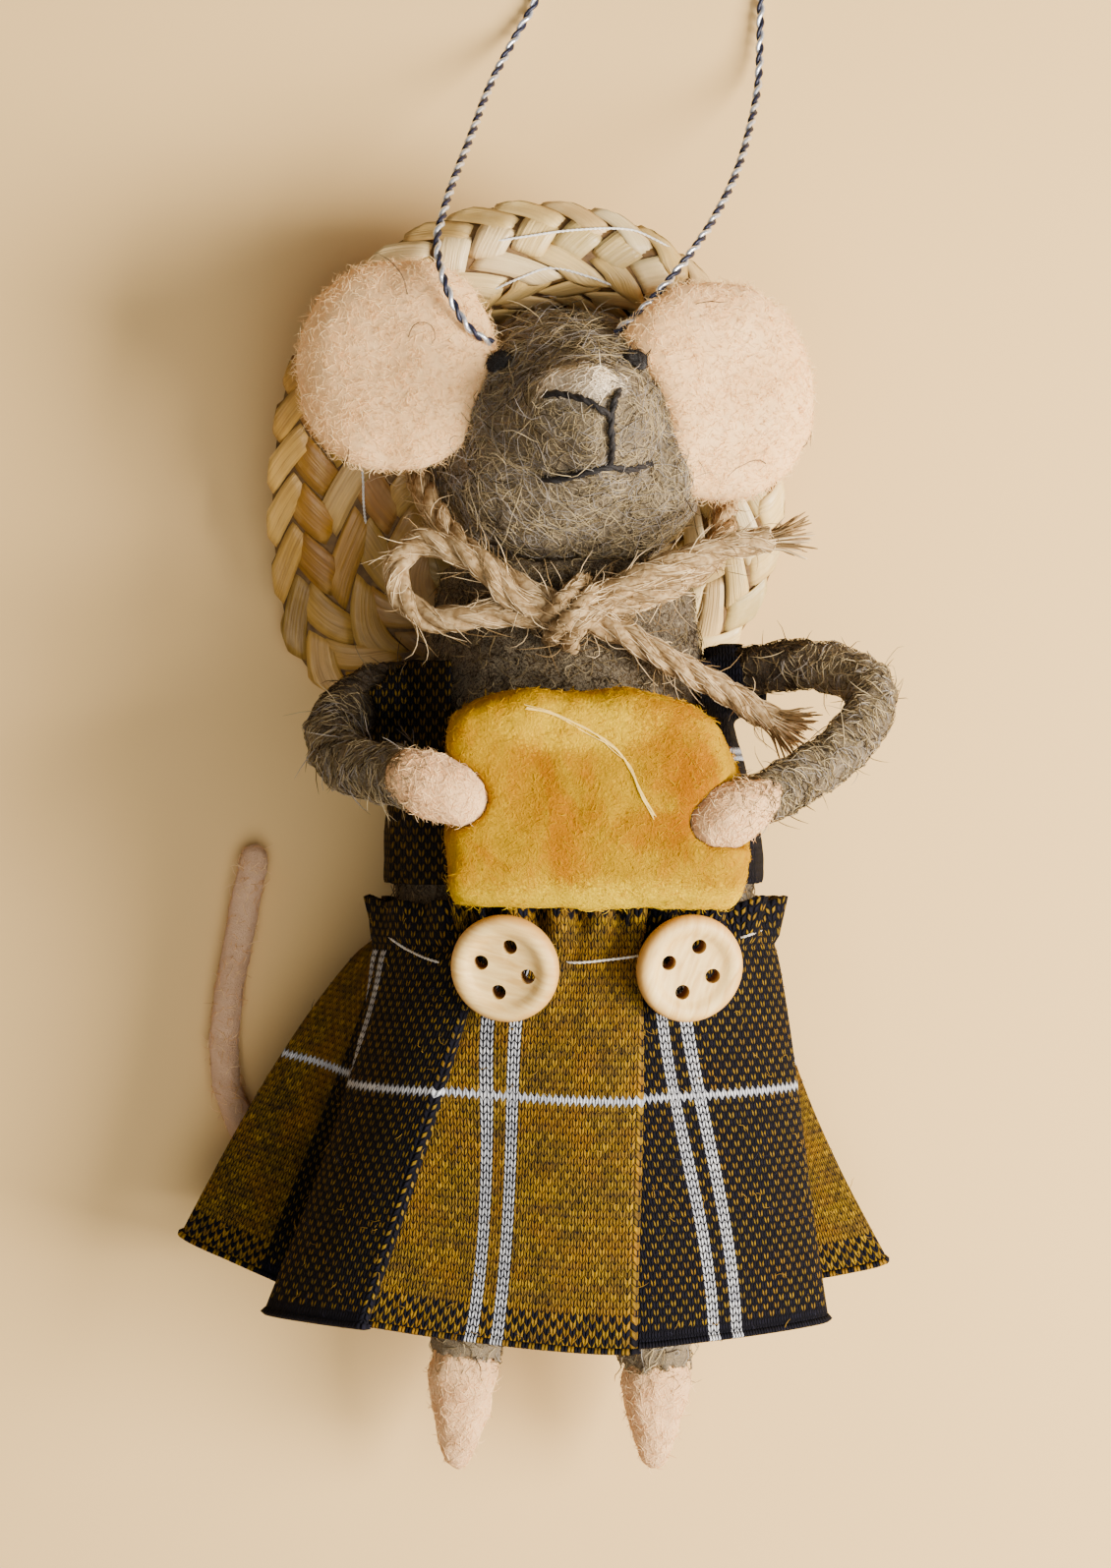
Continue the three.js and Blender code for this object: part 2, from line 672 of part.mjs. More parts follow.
const panelTurn = 13; // the most degrees round the torso between two points
const skirtRows = 5;

// The fold at a place round the skirt, between two of the list where the place is a fraction.
function foldAt(place) {
  const first = Math.floor(place);
  const share = place - first;
  const a = skirtFolds[first % skirtFolds.length];
  const b = skirtFolds[(first + 1) % skirtFolds.length];
  const between = (from, to) => THREE.MathUtils.lerp(from, to, share);
  const turn = b.angle < a.angle ? 360 : 0;
  return {
    angle: rad(between(a.angle, b.angle + turn)),
    out: between(a.out, b.out),
    hem: a.hem.map((value, k) => between(value, b.hem[k])),
  };
}

// Where the skirt's middle surface lies at a place round it and from the gathering to the hem.
function skirtPoint(place, down) {
  const { angle, out, hem: [x, y, z] } = foldAt(place);
  const waist = onTorso(cinchY, angle, gap + cloth / 2 + out);
  const hem = spot(x * hemHalfWidth, hemY + y, cloth / 2 + z * hemHeight);
  return clearOfTorso(waist.lerp(hem, down));
}

// Moves a point of the skirt out to where it clears the torso.
function clearOfTorso(p) {
  const section = torsoSection(p.y);
  const room = gap * 1.5 + cloth / 2;
  const dx = (p.x - section.x) / (section.halfWidth + room);
  const dz = (p.z - section.z) / (section.halfDepth + room);
  const share = Math.hypot(dx, dz);
  if (share < 1 && p.z > section.z && p.y > torsoTop - torsoLength) {
    p.x = section.x + (p.x - section.x) / share;
    p.z = section.z + (p.z - section.z) / share;
  }
  p.z = Math.max(p.z, cloth / 2);
  return p;
}

// The frill above the gathering leans outwards.
function frillPoint(place) {
  const { angle, out } = foldAt(place);
  const bodiceRoom = 2 * gap + cloth + cloth / 2;
  const p = onTorso(cinchY + frillLength, angle, bodiceRoom + (frillLean * out) / 2.8);
  p.z = Math.max(p.z, cloth / 2);
  return p;
}

function skirtSolid() {
  const places = skirtFolds.flatMap((fold, i) => {
    const next = skirtFolds[(i + 1) % skirtFolds.length];
    const steps = Math.ceil(((next.angle - fold.angle + 360) % 360) / panelTurn);
    return Array.from({ length: steps }, (_, k) => i + k / steps);
  });
  const rings = [
    places.map(frillPoint),
    ...Array.from({ length: skirtRows + 1 }, (_, row) =>
      places.map((place) => skirtPoint(place, row / skirtRows)),
    ),
  ];
  return shell(rings, cloth);
}

// Buttons: turned discs with a raised rim, a shallow dish and four holes, face along +Z.
function button() {
  const r = buttonWidth / 2;
  const profile = [
    [0, 0], [0.8 * r, 0], [0.95 * r, 0.14], [r, 0.45], [r, 0.72], [0.94 * r, 0.95],
    [0.82 * r, 1], [0.72 * r, 0.94], [0.6 * r, 0.76], [0, 0.72],
  ].map(([x, z]) => new THREE.Vector2(x, z * buttonThickness));
  const disc = new THREE.LatheGeometry(profile, 16).rotateX(Math.PI / 2);
  const holes = [0, 1, 2, 3].map((i) => {
    const hole = new THREE.CylinderGeometry(buttonHole / 2, buttonHole / 2, buttonThickness * 3, 6);
    const angle = (i * Math.PI) / 2;
    const ringRadius = buttonHolePitch * Math.SQRT1_2;
    hole.rotateX(Math.PI / 2);
    hole.translate(ringRadius * Math.cos(angle), ringRadius * Math.sin(angle), 0);
    return toSolid(hole);
  });
  return carve(toSolid(disc), holes);
}

// The seat of a button: over the skirt's point, facing as given, as high as the folds under
// it and the frill's edge need.
function buttonSeat(place, down, facing) {
  const seat = skirtPoint(place, down);
  const near = [];
  for (let p = place - 3; p <= place + 3; p += 0.1) {
    const around = p + skirtFolds.length;
    for (let d = 0; d <= 0.3; d += 0.02) near.push(skirtPoint(around, d));
    for (let d = 0; d < 1; d += 0.1) near.push(skirtPoint(around, 0).lerp(frillPoint(around), d));
  }
  const heights = near.map((p) => {
    const from = p.sub(seat);
    const height = from.dot(facing);
    return from.addScaledVector(facing, -height).length() < buttonWidth / 2 ? height : 0;
  });
  return seat.addScaledVector(facing, Math.max(...heights) + cloth / 2 + gap);
}

// Legs and feet
const legs = {
  left: { top: spot(-5.5, -32, 15), ankle: spot(-9.3, ankleY, 13), toe: spot(-0.07, -1, 0) },
  right: { top: spot(12.0, -32, 15), ankle: spot(13.7, ankleY - 1.2, 13), toe: spot(-0.02, -0.86, 0) },
};

function footSolid({ ankle, toe }, grow = 0) {
  const end = ankle.clone().addScaledVector(toe, footLength - 2);
  const r = legRadius - 0.5;
  return limb([ankle, ankle.clone().lerp(end, 0.5), end], [r, r * 0.8, 2], grow, 4, 10);
}

function legSolid(leg) {
  const { top, ankle } = leg;
  const long = limb([top, top.clone().lerp(ankle, 0.5), ankle], [legRadius, legRadius, legRadius - 0.5], 0, 2, 10);
  return carve(long, [torsoSolid(gap), footSolid(leg, gap)]);
}

// Tail: from the seat out under the skirt's hem, and up beside the figure on the surface.
const tailRoute = [
  spot(0.5, -38.5, 8),
  spot(-3.5, -44.5, 5.6),
  spot(-9.0, -50.0, 3.0),
  spot(-17.0, -51.2, tailRadius),
  spot(-26.0, -47.5, tailRadius),
  spot(-33.2, -41.0, tailRadius),
  spot(-37.3, -34.6, tailRadius),
  spot(-39.0, -28.5, tailRadius),
  spot(-38.5, -21.5, tailRadius),
  spot(-36.9, -12.0, tailRadius),
  spot(-35.2, -3.2, tailRadius),
];
const tailSolid = (grow = 0) =>
  limb(tailRoute, tailRoute.map((_, i) => (i ? tailRadius : tailRadius * 1.3)), grow, 15, 8);

// The materials
const finish = (color, roughness = 0.95) =>
  new THREE.MeshStandardMaterial({ color, roughness, metalness: 0 });
const greyFelt = finish(0x7f7769);
const pinkFelt = finish(0xd9b8ad);
const earFelt = finish(0xe2cfc4);
const cheeseFelt = finish(0xd9a520);
const knit = finish(0x8a6a1c, 0.9);
const darkKnit = finish(0x1c1e2a, 0.9);
const strawFinish = finish(0xcda65e, 0.6);
const jute = finish(0xb09a78, 0.9);
const blackThread = finish(0x111111, 0.8);
const wood = finish(0xe3cda6, 0.55);
const silver = new THREE.MeshStandardMaterial({ color: 0x9a9aa4, roughness: 0.35, metalness: 0.8 });

// The figure
const group = new THREE.Group();

function place(name, solid, material) {
  const mesh = new THREE.Mesh(toGeometry(solid), material);
  mesh.name = name;
  group.add(mesh);
  return mesh;
}

const cheese = cheeseSolid();
const tie = twineSolid(gap);
const cordGroove = cordSolid(gap);
const headGrown = headSolid(gap);
const torsoGrown = torsoSolid(gap);
const bodiceOver = torsoSolid(2 * gap + cloth);
const frillOver = torsoSolid(4 * gap + 2 * cloth + frillLean);
const belowFrill = new THREE.BoxGeometry(torsoWidth * 2, torsoLength, torsoDepth * 3);
belowFrill.translate(headX, cinchY + frillLength + cloth - torsoLength / 2, 0);
const frillRoom = frillOver.intersect(toSolid(belowFrill));

place("head", carve(headSolid(), [tie, cordGroove]), greyFelt);
place("torso", carve(torsoSolid(), [headGrown, tie]), greyFelt);
const roundEars = [headGrown, tie, cordGroove, hatSolid(gap), eyeLeftSolid(gap), eyeRightSolid(gap)];
place("ear_left", carve(earLeftSolid(), roundEars), earFelt);
place("ear_right", carve(earRightSolid(), roundEars), earFelt);
place("eye_left", eyeLeftSolid(), blackThread);
place("eye_right", eyeRightSolid(), blackThread);
place("mouth_stitch", mouth(), blackThread);
place("straw_hat", hatSolid(), strawFinish);
place("twine_bow", twineSolid(), jute);
place("hanging_cord", cordSolid(), silver);
const handsGrown = [handLeftSolid(gap), handRightSolid(gap)];
place("cheese", carve(cheese, [bodiceOver, frillRoom, ...handsGrown]), cheeseFelt);
place("bodice", bodiceSolid(), darkKnit);
place("skirt", skirtSolid(), knit);

const hands = { left: handLeftSolid, right: handRightSolid };
const arms = { left: armLeftRoute, right: armRightRoute };
for (const side of ["left", "right"]) {
  place(`hand_${side}`, carve(hands[side](), [torsoGrown]), pinkFelt);
  const behind = [hands[side](gap), cheeseSolid(gap), torsoGrown];
  place(`arm_${side}`, carve(armSolid(arms[side]), behind), greyFelt);
  place(`leg_${side}`, legSolid(legs[side]), greyFelt);
  place(`foot_${side}`, footSolid(legs[side]), pinkFelt);
}
place("tail", carve(tailSolid(), [torsoGrown]), pinkFelt);

const buttons = {
  left: { fold: 3.87, down: 0.02, facing: spot(-0.22, -0.26, 1).normalize(), turn: 25 },
  right: { fold: 0.8, down: 0.02, facing: spot(0.3, -0.24, 1).normalize(), turn: 20 },
};
for (const [side, { fold, down, facing, turn }] of Object.entries(buttons)) {
  const mesh = place(`button_${side}`, button(), wood);
  mesh.position.copy(buttonSeat(fold, down, facing));
  mesh.quaternion.setFromUnitVectors(spot(0, 0, 1), facing);
  mesh.rotateZ(rad(turn));
}

export default group;
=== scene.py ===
# Dresses the felted mouse: wool felt, plaited straw, knitted cloth, jute, wood and cord.
# Pieces are shaped in millimetres, and putInPlace() turns them into metres at the end.
import bmesh
import bpy
import math
import random
from mathutils import Matrix, Vector
from mathutils.bvhtree import BVHTree
from mathutils.geometry import interpolate_bezier
from mathutils.kdtree import KDTree


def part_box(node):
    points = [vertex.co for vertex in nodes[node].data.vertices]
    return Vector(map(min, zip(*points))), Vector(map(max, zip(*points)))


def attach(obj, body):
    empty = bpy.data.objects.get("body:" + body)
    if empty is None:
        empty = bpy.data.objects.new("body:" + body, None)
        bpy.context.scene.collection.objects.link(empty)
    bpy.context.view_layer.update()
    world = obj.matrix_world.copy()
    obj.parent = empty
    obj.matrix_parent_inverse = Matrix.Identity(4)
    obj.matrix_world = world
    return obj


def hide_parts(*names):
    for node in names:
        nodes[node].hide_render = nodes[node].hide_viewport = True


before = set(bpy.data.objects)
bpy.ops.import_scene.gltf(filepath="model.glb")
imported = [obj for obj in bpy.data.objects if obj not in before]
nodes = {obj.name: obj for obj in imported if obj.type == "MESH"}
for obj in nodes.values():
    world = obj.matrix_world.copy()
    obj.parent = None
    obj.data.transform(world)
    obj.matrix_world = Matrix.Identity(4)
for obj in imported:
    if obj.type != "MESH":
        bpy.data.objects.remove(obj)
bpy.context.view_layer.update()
mm = 0.001
scene = bpy.context.scene

print("camera and light")
view = {"x": 1.7, "y": 6.1, "height": 535, "lens": 100, "sensor": 36}
cameraData = bpy.data.cameras.new("camera")
cameraData.lens = view["lens"]
cameraData.sensor_width = view["sensor"]
camera = bpy.data.objects.new("camera", cameraData)
camera.location = (view["x"] * mm, view["y"] * mm, view["height"] * mm)
scene.collection.objects.link(camera)
scene.camera = camera

# Softboxes: place in millimetres, size in metres, power in watts.
softboxes = {
    "key": {"place": (430, -60, 350), "size": 0.3, "power": 12.5, "tint": (1, 0.95, 0.88)},
    "top": {"place": (90, -240, 600), "size": 0.6, "power": 4.3, "tint": (1, 0.97, 0.93)},
    "fill": {"place": (-480, 300, 480), "size": 0.8, "power": 0.45, "tint": (0.94, 0.97, 1)},
}
lightsAim = Vector((0, 0, 10)) * mm
for name, box in softboxes.items():
    lamp = bpy.data.lights.new(name, "AREA")
    lamp.size = box["size"]
    lamp.energy = box["power"]
    lamp.color = box["tint"]
    holder = bpy.data.objects.new(name, lamp)
    holder.location = Vector(box["place"]) * mm
    holder.rotation_mode = "QUATERNION"
    holder.rotation_quaternion = (lightsAim - holder.location).to_track_quat("-Z", "Y")
    scene.collection.objects.link(holder)
studio = {"tint": (1, 0.96, 0.9, 1), "light": 0.06}
world = bpy.data.worlds.new("studio")
world.use_nodes = True
air = world.node_tree.nodes["Background"]
air.inputs[0].default_value = studio["tint"]
air.inputs[1].default_value = studio["light"]
scene.world = world


def objectFrom(shape, name):
    mesh = bpy.data.meshes.new(name)
    shape.to_mesh(mesh)
    shape.free()
    piece = bpy.data.objects.new(name, mesh)
    scene.collection.objects.link(piece)
    return piece


def settle(piece):
    # Makes what the modifiers show the piece's own mesh.
    shown = piece.evaluated_get(bpy.context.evaluated_depsgraph_get())
    mesh = bpy.data.meshes.new_from_object(shown)
    piece.modifiers.clear()
    piece.data = mesh
    return piece


def copyOf(name, *nodeNames):
    shape = bmesh.new()
    for nodeName in nodeNames:
        shape.from_mesh(nodes[nodeName].data)
    bmesh.ops.remove_doubles(shape, verts=shape.verts, dist=1e-6)
    bmesh.ops.scale(shape, vec=(1 / mm, 1 / mm, 1 / mm), verts=shape.verts)
    return objectFrom(shape, name)


def feltOver(piece, look):
    # One smooth skin over the piece, then lumps from large to small.
    skin = piece.modifiers.new("skin", "REMESH")
    skin.mode = "VOXEL"
    skin.voxel_size = look["voxel"]
    soft = piece.modifiers.new("soft", "SMOOTH")
    soft.iterations = look["smooth"]
    if "swell" in look:
        swell = piece.modifiers.new("swell", "DISPLACE")
        swell.strength = look["swell"]
        swell.mid_level = 0
    for number, (size, height) in enumerate(look["lumps"]):
        clouds = bpy.data.textures.new(f"{piece.name}Lumps{number}", "CLOUDS")
        clouds.noise_scale = size
        clouds.noise_depth = 2
        lump = piece.modifiers.new(f"lumps{number}", "DISPLACE")
        lump.texture = clouds
        lump.texture_coords = "LOCAL"
        lump.strength = height
        lump.mid_level = 0.5
    return settle(piece)


def putInPlace(piece, slot, materials, stands=(), smooth=True):
    # The last step for every piece: metres, finish, body and the nodes that it stands for.
    piece.data.transform(Matrix.Scale(mm, 4))
    piece.data.shade_smooth() if smooth else piece.data.shade_flat()
    slots = piece.data.materials  # the faces keep the number of their slot
    for number, material in enumerate(materials):
        if number < len(slots):
            slots[number] = material
        else:
            slots.append(material)
    while len(slots) > len(materials):
        slots.pop()
    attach(piece, "root")
    if stands:
        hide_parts(*stands)
    return piece


def smoothed(x):
    x = min(1, max(0, x))
    return x * x * (3 - 2 * x)


def blend(a, b, share):
    return a + (b - a) * share


def smoothLine(points, step):
    # Points about step apart on a smooth curve through the given ones.
    points = [Vector(p) for p in points]
    ends = [points[0] * 2 - points[1], *points, points[-1] * 2 - points[-2]]
    line = [points[0]]
    for a, b, c, d in zip(ends, ends[1:], ends[2:], ends[3:]):
        reach = (c - b).length / 3
        count = max(2, math.ceil((c - b).length / step) + 1)
        line += interpolate_bezier(
            b, b + (c - a).normalized() * reach, c - (d - b).normalized() * reach, c, count
        )[1:]
    return line


def railsOf(line):
    # Each point of a line with a side and an upward direction that turn as little as they can.
    rails = []
    side = None
    for k, point in enumerate(line):
        ahead = (line[min(k + 1, len(line) - 1)] - line[max(k - 1, 0)]).normalized()
        if side is None:
            side = ahead.orthogonal().normalized()
        side = (side - ahead * side.dot(ahead)).normalized()
        rails.append((point, side, ahead.cross(side)))
    return rails


def twisted(line, plies, offset, pitch, start=0, rise=None):
    # Lines that wind round a line, one for each ply.
    lines = [[] for _ in range(plies)]
    walked = 0
    rails = railsOf(line)
    for k, (point, side, up) in enumerate(rails):
        if k:
            walked += (point - rails[k - 1][0]).length
        for ply in range(plies):
            turn = start + 2 * math.pi * (walked / pitch + ply / plies)
            width = offset * (rise(k / len(rails)) if rise else 1)
            lines[ply].append(point + (side * math.cos(turn) + up * math.sin(turn)) * width)
    return lines


def tubes(name, lines, radius, fine=1, shares=None, finishes=None):
    # A mesh of round tubes along lines. shares are the widths along each line, finishes the
    # number of each line's material.
    curve = bpy.data.curves.new(name, "CURVE")
    curve.dimensions = "3D"
    curve.bevel_depth = radius
    curve.bevel_resolution = fine
    curve.use_fill_caps = True
    for number in range(1 + max(finishes or [0])):
        curve.materials.append(None)
    for number, line in enumerate(lines):
        spline = curve.splines.new("POLY")
        spline.points.add(len(line) - 1)
        spline.points.foreach_set("co", [value for p in line for value in (*p, 1)])
        if shares:
            spline.points.foreach_set("radius", shares[number])
        if finishes:
            spline.material_index = finishes[number]
        spline.use_smooth = True
    holder = bpy.data.objects.new(name, curve)
    mesh = bpy.data.meshes.new_from_object(holder)
    bpy.data.objects.remove(holder)
    piece = bpy.data.objects.new(name, mesh)
    scene.collection.objects.link(piece)
    return piece


def alongLines(lines):
    # A function that gives the direction of the nearest line at a place.
    points = [(p, (line[min(k + 1, len(line) - 1)] - line[max(k - 1, 0)]).normalized())
              for line in lines for k, p in enumerate(line)]
    tree = KDTree(len(points))
    for k, (p, _) in enumerate(points):
        tree.insert(p, k)
    tree.balance()
    return lambda place: points[tree.find(place)[1]][1]


def treeOf(piece):
    mesh = piece.data
    return BVHTree.FromPolygons([v.co for v in mesh.vertices], [p.vertices for p in mesh.polygons])


def droppedOn(tree, x, y, lift):
    # The place on a surface under x, y, seen from above, and a little higher.
    return tree.ray_cast(Vector((x, y, 70)), Vector((0, 0, -1)))[0] + Vector((0, 0, lift))


# For every fibre: how deep its root sits, how steeply a loose one climbs and bends over, and its thin end.
fibre = {"root": 0.15, "climb": (0.25, 0.9), "droop": (0.4, 1.1), "end": [0.7, 0.25]}


def strewFibres(name, base, look, grain=None, keep=None, choose=None):
    # Wool fibres as thin tapered tubes that lie on the surface, and some that stand off it.
    rng = random.Random(look["seed"])
    mesh = base.data
    mesh.calc_loop_triangles()
    faces = list(mesh.loop_triangles)
    tree = treeOf(base)
    steps = look.get("steps", 4)
    low, high = look["long"]
    lines, shares, finishes = [], [], []
    for face in rng.choices(faces, weights=[f.area for f in faces], k=look["count"]):
        a, b, c = (mesh.vertices[i].co for i in face.vertices)
        u, v = sorted((rng.random(), rng.random()))
        place = a * u + b * (v - u) + c * (1 - v)
        normal = Vector(face.normal)
        if keep and not keep(place, normal):
            continue
        heading = grain(place) if grain else normal.orthogonal()
        heading = heading - normal * heading.dot(normal)
        if heading.length < 1e-4:
            heading = normal.orthogonal()
        heading.normalize()
        spread = look.get("spread", math.pi)
        turn = rng.gauss(0, spread) if grain else rng.uniform(-math.pi, math.pi)
        loose = rng.random() < look["loose"]
        long = rng.uniform(low, high) * (look.get("looseLong", 1) if loose else 1)
        curl = rng.gauss(0, look["curl"])
        climb = rng.uniform(*fibre["climb"]) if loose else 0
        line = [place - normal * fibre["root"]]
        line[0].z = max(line[0].z, look["width"])
        for step in range(steps):
            heading = heading * math.cos(turn) + normal.cross(heading) * math.sin(turn)
            turn = curl + rng.gauss(0, look["curl"] * 0.5)
            place = place + (heading + normal * climb).normalized() * (long / steps)
            if not loose:
                near, facing, _, _ = tree.find_nearest(place)
                normal = facing
                place = near + normal * (look["lift"] * rng.uniform(0.2, 1))
            else:
                climb *= rng.uniform(*fibre["droop"])
            place.z = max(place.z, look["width"])  # above what the figure lies on
            line.append(place)
        lines.append(line)
        shares.append([1] * (steps - 1) + fibre["end"])
        finishes.append(choose(line[1], rng) if choose else rng.randrange(look["wools"]))
    return tubes(name, lines, look["width"] / 2, 0, shares, finishes)


def addNode(tree, kind, inputs=None, **settings):
    node = tree.nodes.new(kind)
    for setting, value in settings.items():
        setattr(node, setting, value)
    for socket, value in (inputs or {}).items():
        feed(tree, node.inputs[socket], value)
    return node


def feed(tree, socket, value):
    if isinstance(value, bpy.types.NodeSocket):
        tree.links.new(value, socket)
    else:
        socket.default_value = value


def maths(tree, operation, a, b=0.0, c=None):
    node = addNode(tree, "ShaderNodeMath", {0: a, 1: b}, operation=operation)
    if c is not None:
        feed(tree, node.inputs[2], c)
    return node.outputs[0]


def mixed(tree, share, a, b, blend="MIX"):
    node = addNode(tree, "ShaderNodeMix", data_type="RGBA", blend_type=blend)
    for socket, value in ((0, share), (6, a), (7, b)):
        feed(tree, node.inputs[socket], value)
    return node.outputs[2]


def spanned(tree, value, low, high, toLow=0.0, toHigh=1.0):
    inputs = {"Value": value, "From Min": low, "From Max": high, "To Min": toLow, "To Max": toHigh}
    return addNode(tree, "ShaderNodeMapRange", inputs).outputs[0]


def newMaterial(name, sockets=None):
    material = bpy.data.materials.new(name)
    material.use_nodes = True
    tree = material.node_tree
    shader = tree.nodes["Principled BSDF"]
    for socket, value in (sockets or {}).items():
        shader.inputs[socket].default_value = value
    return material, tree, shader


def inMillimetres(tree, shift=(0, 0, 0), stretch=(1, 1, 1)):
    # The place on the object in millimetres.
    coords = addNode(tree, "ShaderNodeTexCoord")
    scale = [s / mm for s in stretch]
    inputs = {"Vector": coords.outputs["Object"], "Scale": scale, "Location": shift}
    return addNode(tree, "ShaderNodeMapping", inputs).outputs[0]


def newGroup(name, inputs, outputs):
    group = bpy.data.node_groups.new(name, "ShaderNodeTree")
    for socket, kind, value in inputs:
        made = group.interface.new_socket(name=socket, in_out="INPUT", socket_type=kind)
        if value is not None:
            made.default_value = value
    for socket, kind in outputs:
        group.interface.new_socket(name=socket, in_out="OUTPUT", socket_type=kind)
    start = addNode(group, "NodeGroupInput")
    end = addNode(group, "NodeGroupOutput")
    return group, start.outputs, end.inputs


def useGroup(tree, group, inputs):
    node = addNode(tree, "ShaderNodeGroup", node_tree=group)
    for socket, value in inputs.items():
        feed(tree, node.inputs[socket], value)
    return node.outputs


def addBump(tree, shader, height, strength, distance):
    inputs = {"Height": height, "Strength": strength, "Distance": distance * mm}
    bump = addNode(tree, "ShaderNodeBump", inputs)
    tree.links.new(bump.outputs[0], shader.inputs["Normal"])


# Curly fibres: thin winding lines where a bent noise passes its middle value.
woolFelt, at, out = newGroup(
    "woolFelt",
    [("Place", "NodeSocketVector", None), ("Fineness", "NodeSocketFloat", 1.0)],
    [("Fibres", "NodeSocketFloat"), ("Mottle", "NodeSocketFloat"), ("Height", "NodeSocketFloat")],
)
curls = None
for size, bend in ((0.75, 2.2), (1.3, 1.6)):
    fine = maths(woolFelt, "MULTIPLY", at["Fineness"], size)
    inputs = {"Vector": at["Place"], "Scale": fine, "Detail": 3.0, "Distortion": bend}
    winding = addNode(woolFelt, "ShaderNodeTexNoise", inputs).outputs[0]
    away = maths(woolFelt, "ABSOLUTE", maths(woolFelt, "SUBTRACT", winding, 0.5))
    curl = spanned(woolFelt, away, 0.0, 0.055, 1.0, 0.0)
    curls = curl if curls is None else maths(woolFelt, "MAXIMUM", curls, curl)
wide = maths(woolFelt, "MULTIPLY", at["Fineness"], 0.14)
mottleInputs = {"Vector": at["Place"], "Scale": wide, "Detail": 4.0, "Roughness": 0.6}
mottle = addNode(woolFelt, "ShaderNodeTexNoise", mottleInputs).outputs[0]
small = maths(woolFelt, "MULTIPLY", at["Fineness"], 3.2)
gritInputs = {"Vector": at["Place"], "Scale": small, "Detail": 2.0}
grit = addNode(woolFelt, "ShaderNodeTexNoise", gritInputs).outputs[0]
feed(woolFelt, out["Fibres"], curls)
feed(woolFelt, out["Mottle"], mottle)
feed(woolFelt, out["Height"], maths(woolFelt, "ADD", maths(woolFelt, "MULTIPLY", curls, 0.6), grit))


def feltMaterial(name, finish):
    sockets = {"Roughness": 1.0, "Sheen Weight": finish["sheen"], "Sheen Roughness": 0.5,
               "Specular IOR Level": finish.get("shine", 0.15)}
    material, tree, shader = newMaterial(name, sockets)
    place = inMillimetres(tree)
    felt = useGroup(tree, woolFelt, {"Place": place, "Fineness": finish.get("fineness", 1.0)})
    shade = spanned(tree, felt["Mottle"], 0.3, 0.7)
    colour = mixed(tree, shade, finish["dark"], finish["light"])
    curls = maths(tree, "MULTIPLY", felt["Fibres"], finish["curls"])
    colour = mixed(tree, curls, colour, finish["fibre"])
    if "streaks" in finish:
        # Wool of a second colour, laid in one direction.
        facts = finish["streaks"]
        inputs = {"Vector": place, "Scale": facts["stretch"]}
        drawn = addNode(tree, "ShaderNodeMapping", inputs).outputs[0]
        inputs = {"Vector": drawn, "Scale": 1.0, "Detail": 5.0, "Roughness": 0.66, "Distortion": 0.8}
        streaks = addNode(tree, "ShaderNodeTexNoise", inputs).outputs[0]
        seen = spanned(tree, streaks, 0.46, 0.64, 0.0, facts["share"])
        colour = mixed(tree, seen, colour, facts["colour"])
    for patch in finish.get("patches", []):
        # A spot of another colour with a soft, ragged edge: dyed wool, and in some finishes painted shade or
        # painted highlight.
        inputs = {"Vector": place, "Location": [-v for v in patch["place"]]}
        move = addNode(tree, "ShaderNodeMapping", inputs).outputs[0]
        squeeze = addNode(tree, "ShaderNodeVectorMath", {0: move, 1: [1 / r for r in patch["reach"]]},
                          operation="MULTIPLY").outputs[0]
        far = addNode(tree, "ShaderNodeVectorMath", {0: squeeze}, operation="LENGTH").outputs["Value"]
        ragged = maths(tree, "ADD", far, spanned(tree, felt["Height"], 0.2, 1.2, -0.22, 0.22))
        inside = spanned(tree, ragged, 0.75, 1.15, patch["share"], 0.0)
        colour = mixed(tree, inside, colour, patch["colour"])
    feed(tree, shader.inputs["Base Color"], colour)
    addBump(tree, shader, felt["Height"], finish["bump"], 0.35)
    return material


def fibreMaterial(name, colour, spread=0.25, shine=0.2):
    # Single fibres, a little lighter and darker along the way.
    material, tree, shader = newMaterial(name, {"Roughness": 0.85, "Specular IOR Level": shine})
    inputs = {"Vector": inMillimetres(tree), "Scale": 0.6, "Detail": 1.0}
    uneven = addNode(tree, "ShaderNodeTexNoise", inputs).outputs[0]
    darker = [c * (1 - spread) for c in colour[:3]] + [1]
    lighter = [min(1, c * (1 + spread)) for c in colour[:3]] + [1]
    feed(tree, shader.inputs["Base Color"], mixed(tree, spanned(tree, uneven, 0.3, 0.7), darker, lighter))
    return material


def paint(red, green, blue):
    # A colour as seen on screen, from 0 to 255, for a shader.
    return [((v / 255 + 0.055) / 1.055) ** 2.4 if v > 10 else v / 3295 for v in (red, green, blue)] + [1]


print("hanging cord")
cord = {
    "width": 1.05,
    "pitch": 3.3,
    "step": 0.3,
    "silver": 0.30,
    "navy": 0.25,
    "route": [
        (-5.6, 57.0, 32.0), (-7.6, 58.0, 33.6), (-9.3, 60.0, 34.2), (-11.0, 63.7, 34.0), (-12.0, 68.7, 31.4),
        (-11.4, 72.3, 28.2), (-10.6, 75.9, 24.0), (-8.4, 83.5, 14.5), (-6.2, 91.0, 6.0), (-3.5, 97.0, 1.8),
        (-0.7, 102.3, 0.7), (3.5, 113.0, 0.6), (10.2, 122.6, 0.6), (18.6, 126.6, 0.6), (25.2, 121.6, 0.6),
        (27.4, 111.8, 0.6), (26.9, 102.3, 0.7), (26.5, 92.1, 2.6), (25.3, 85.8, 7.6), (23.3, 79.1, 14.6),
        (20.4, 72.8, 21.4), (17.5, 68.1, 26.0), (14.3, 63.9, 29.2), (11.4, 60.7, 30.6), (8.6, 58.4, 30.2),
    ],
}


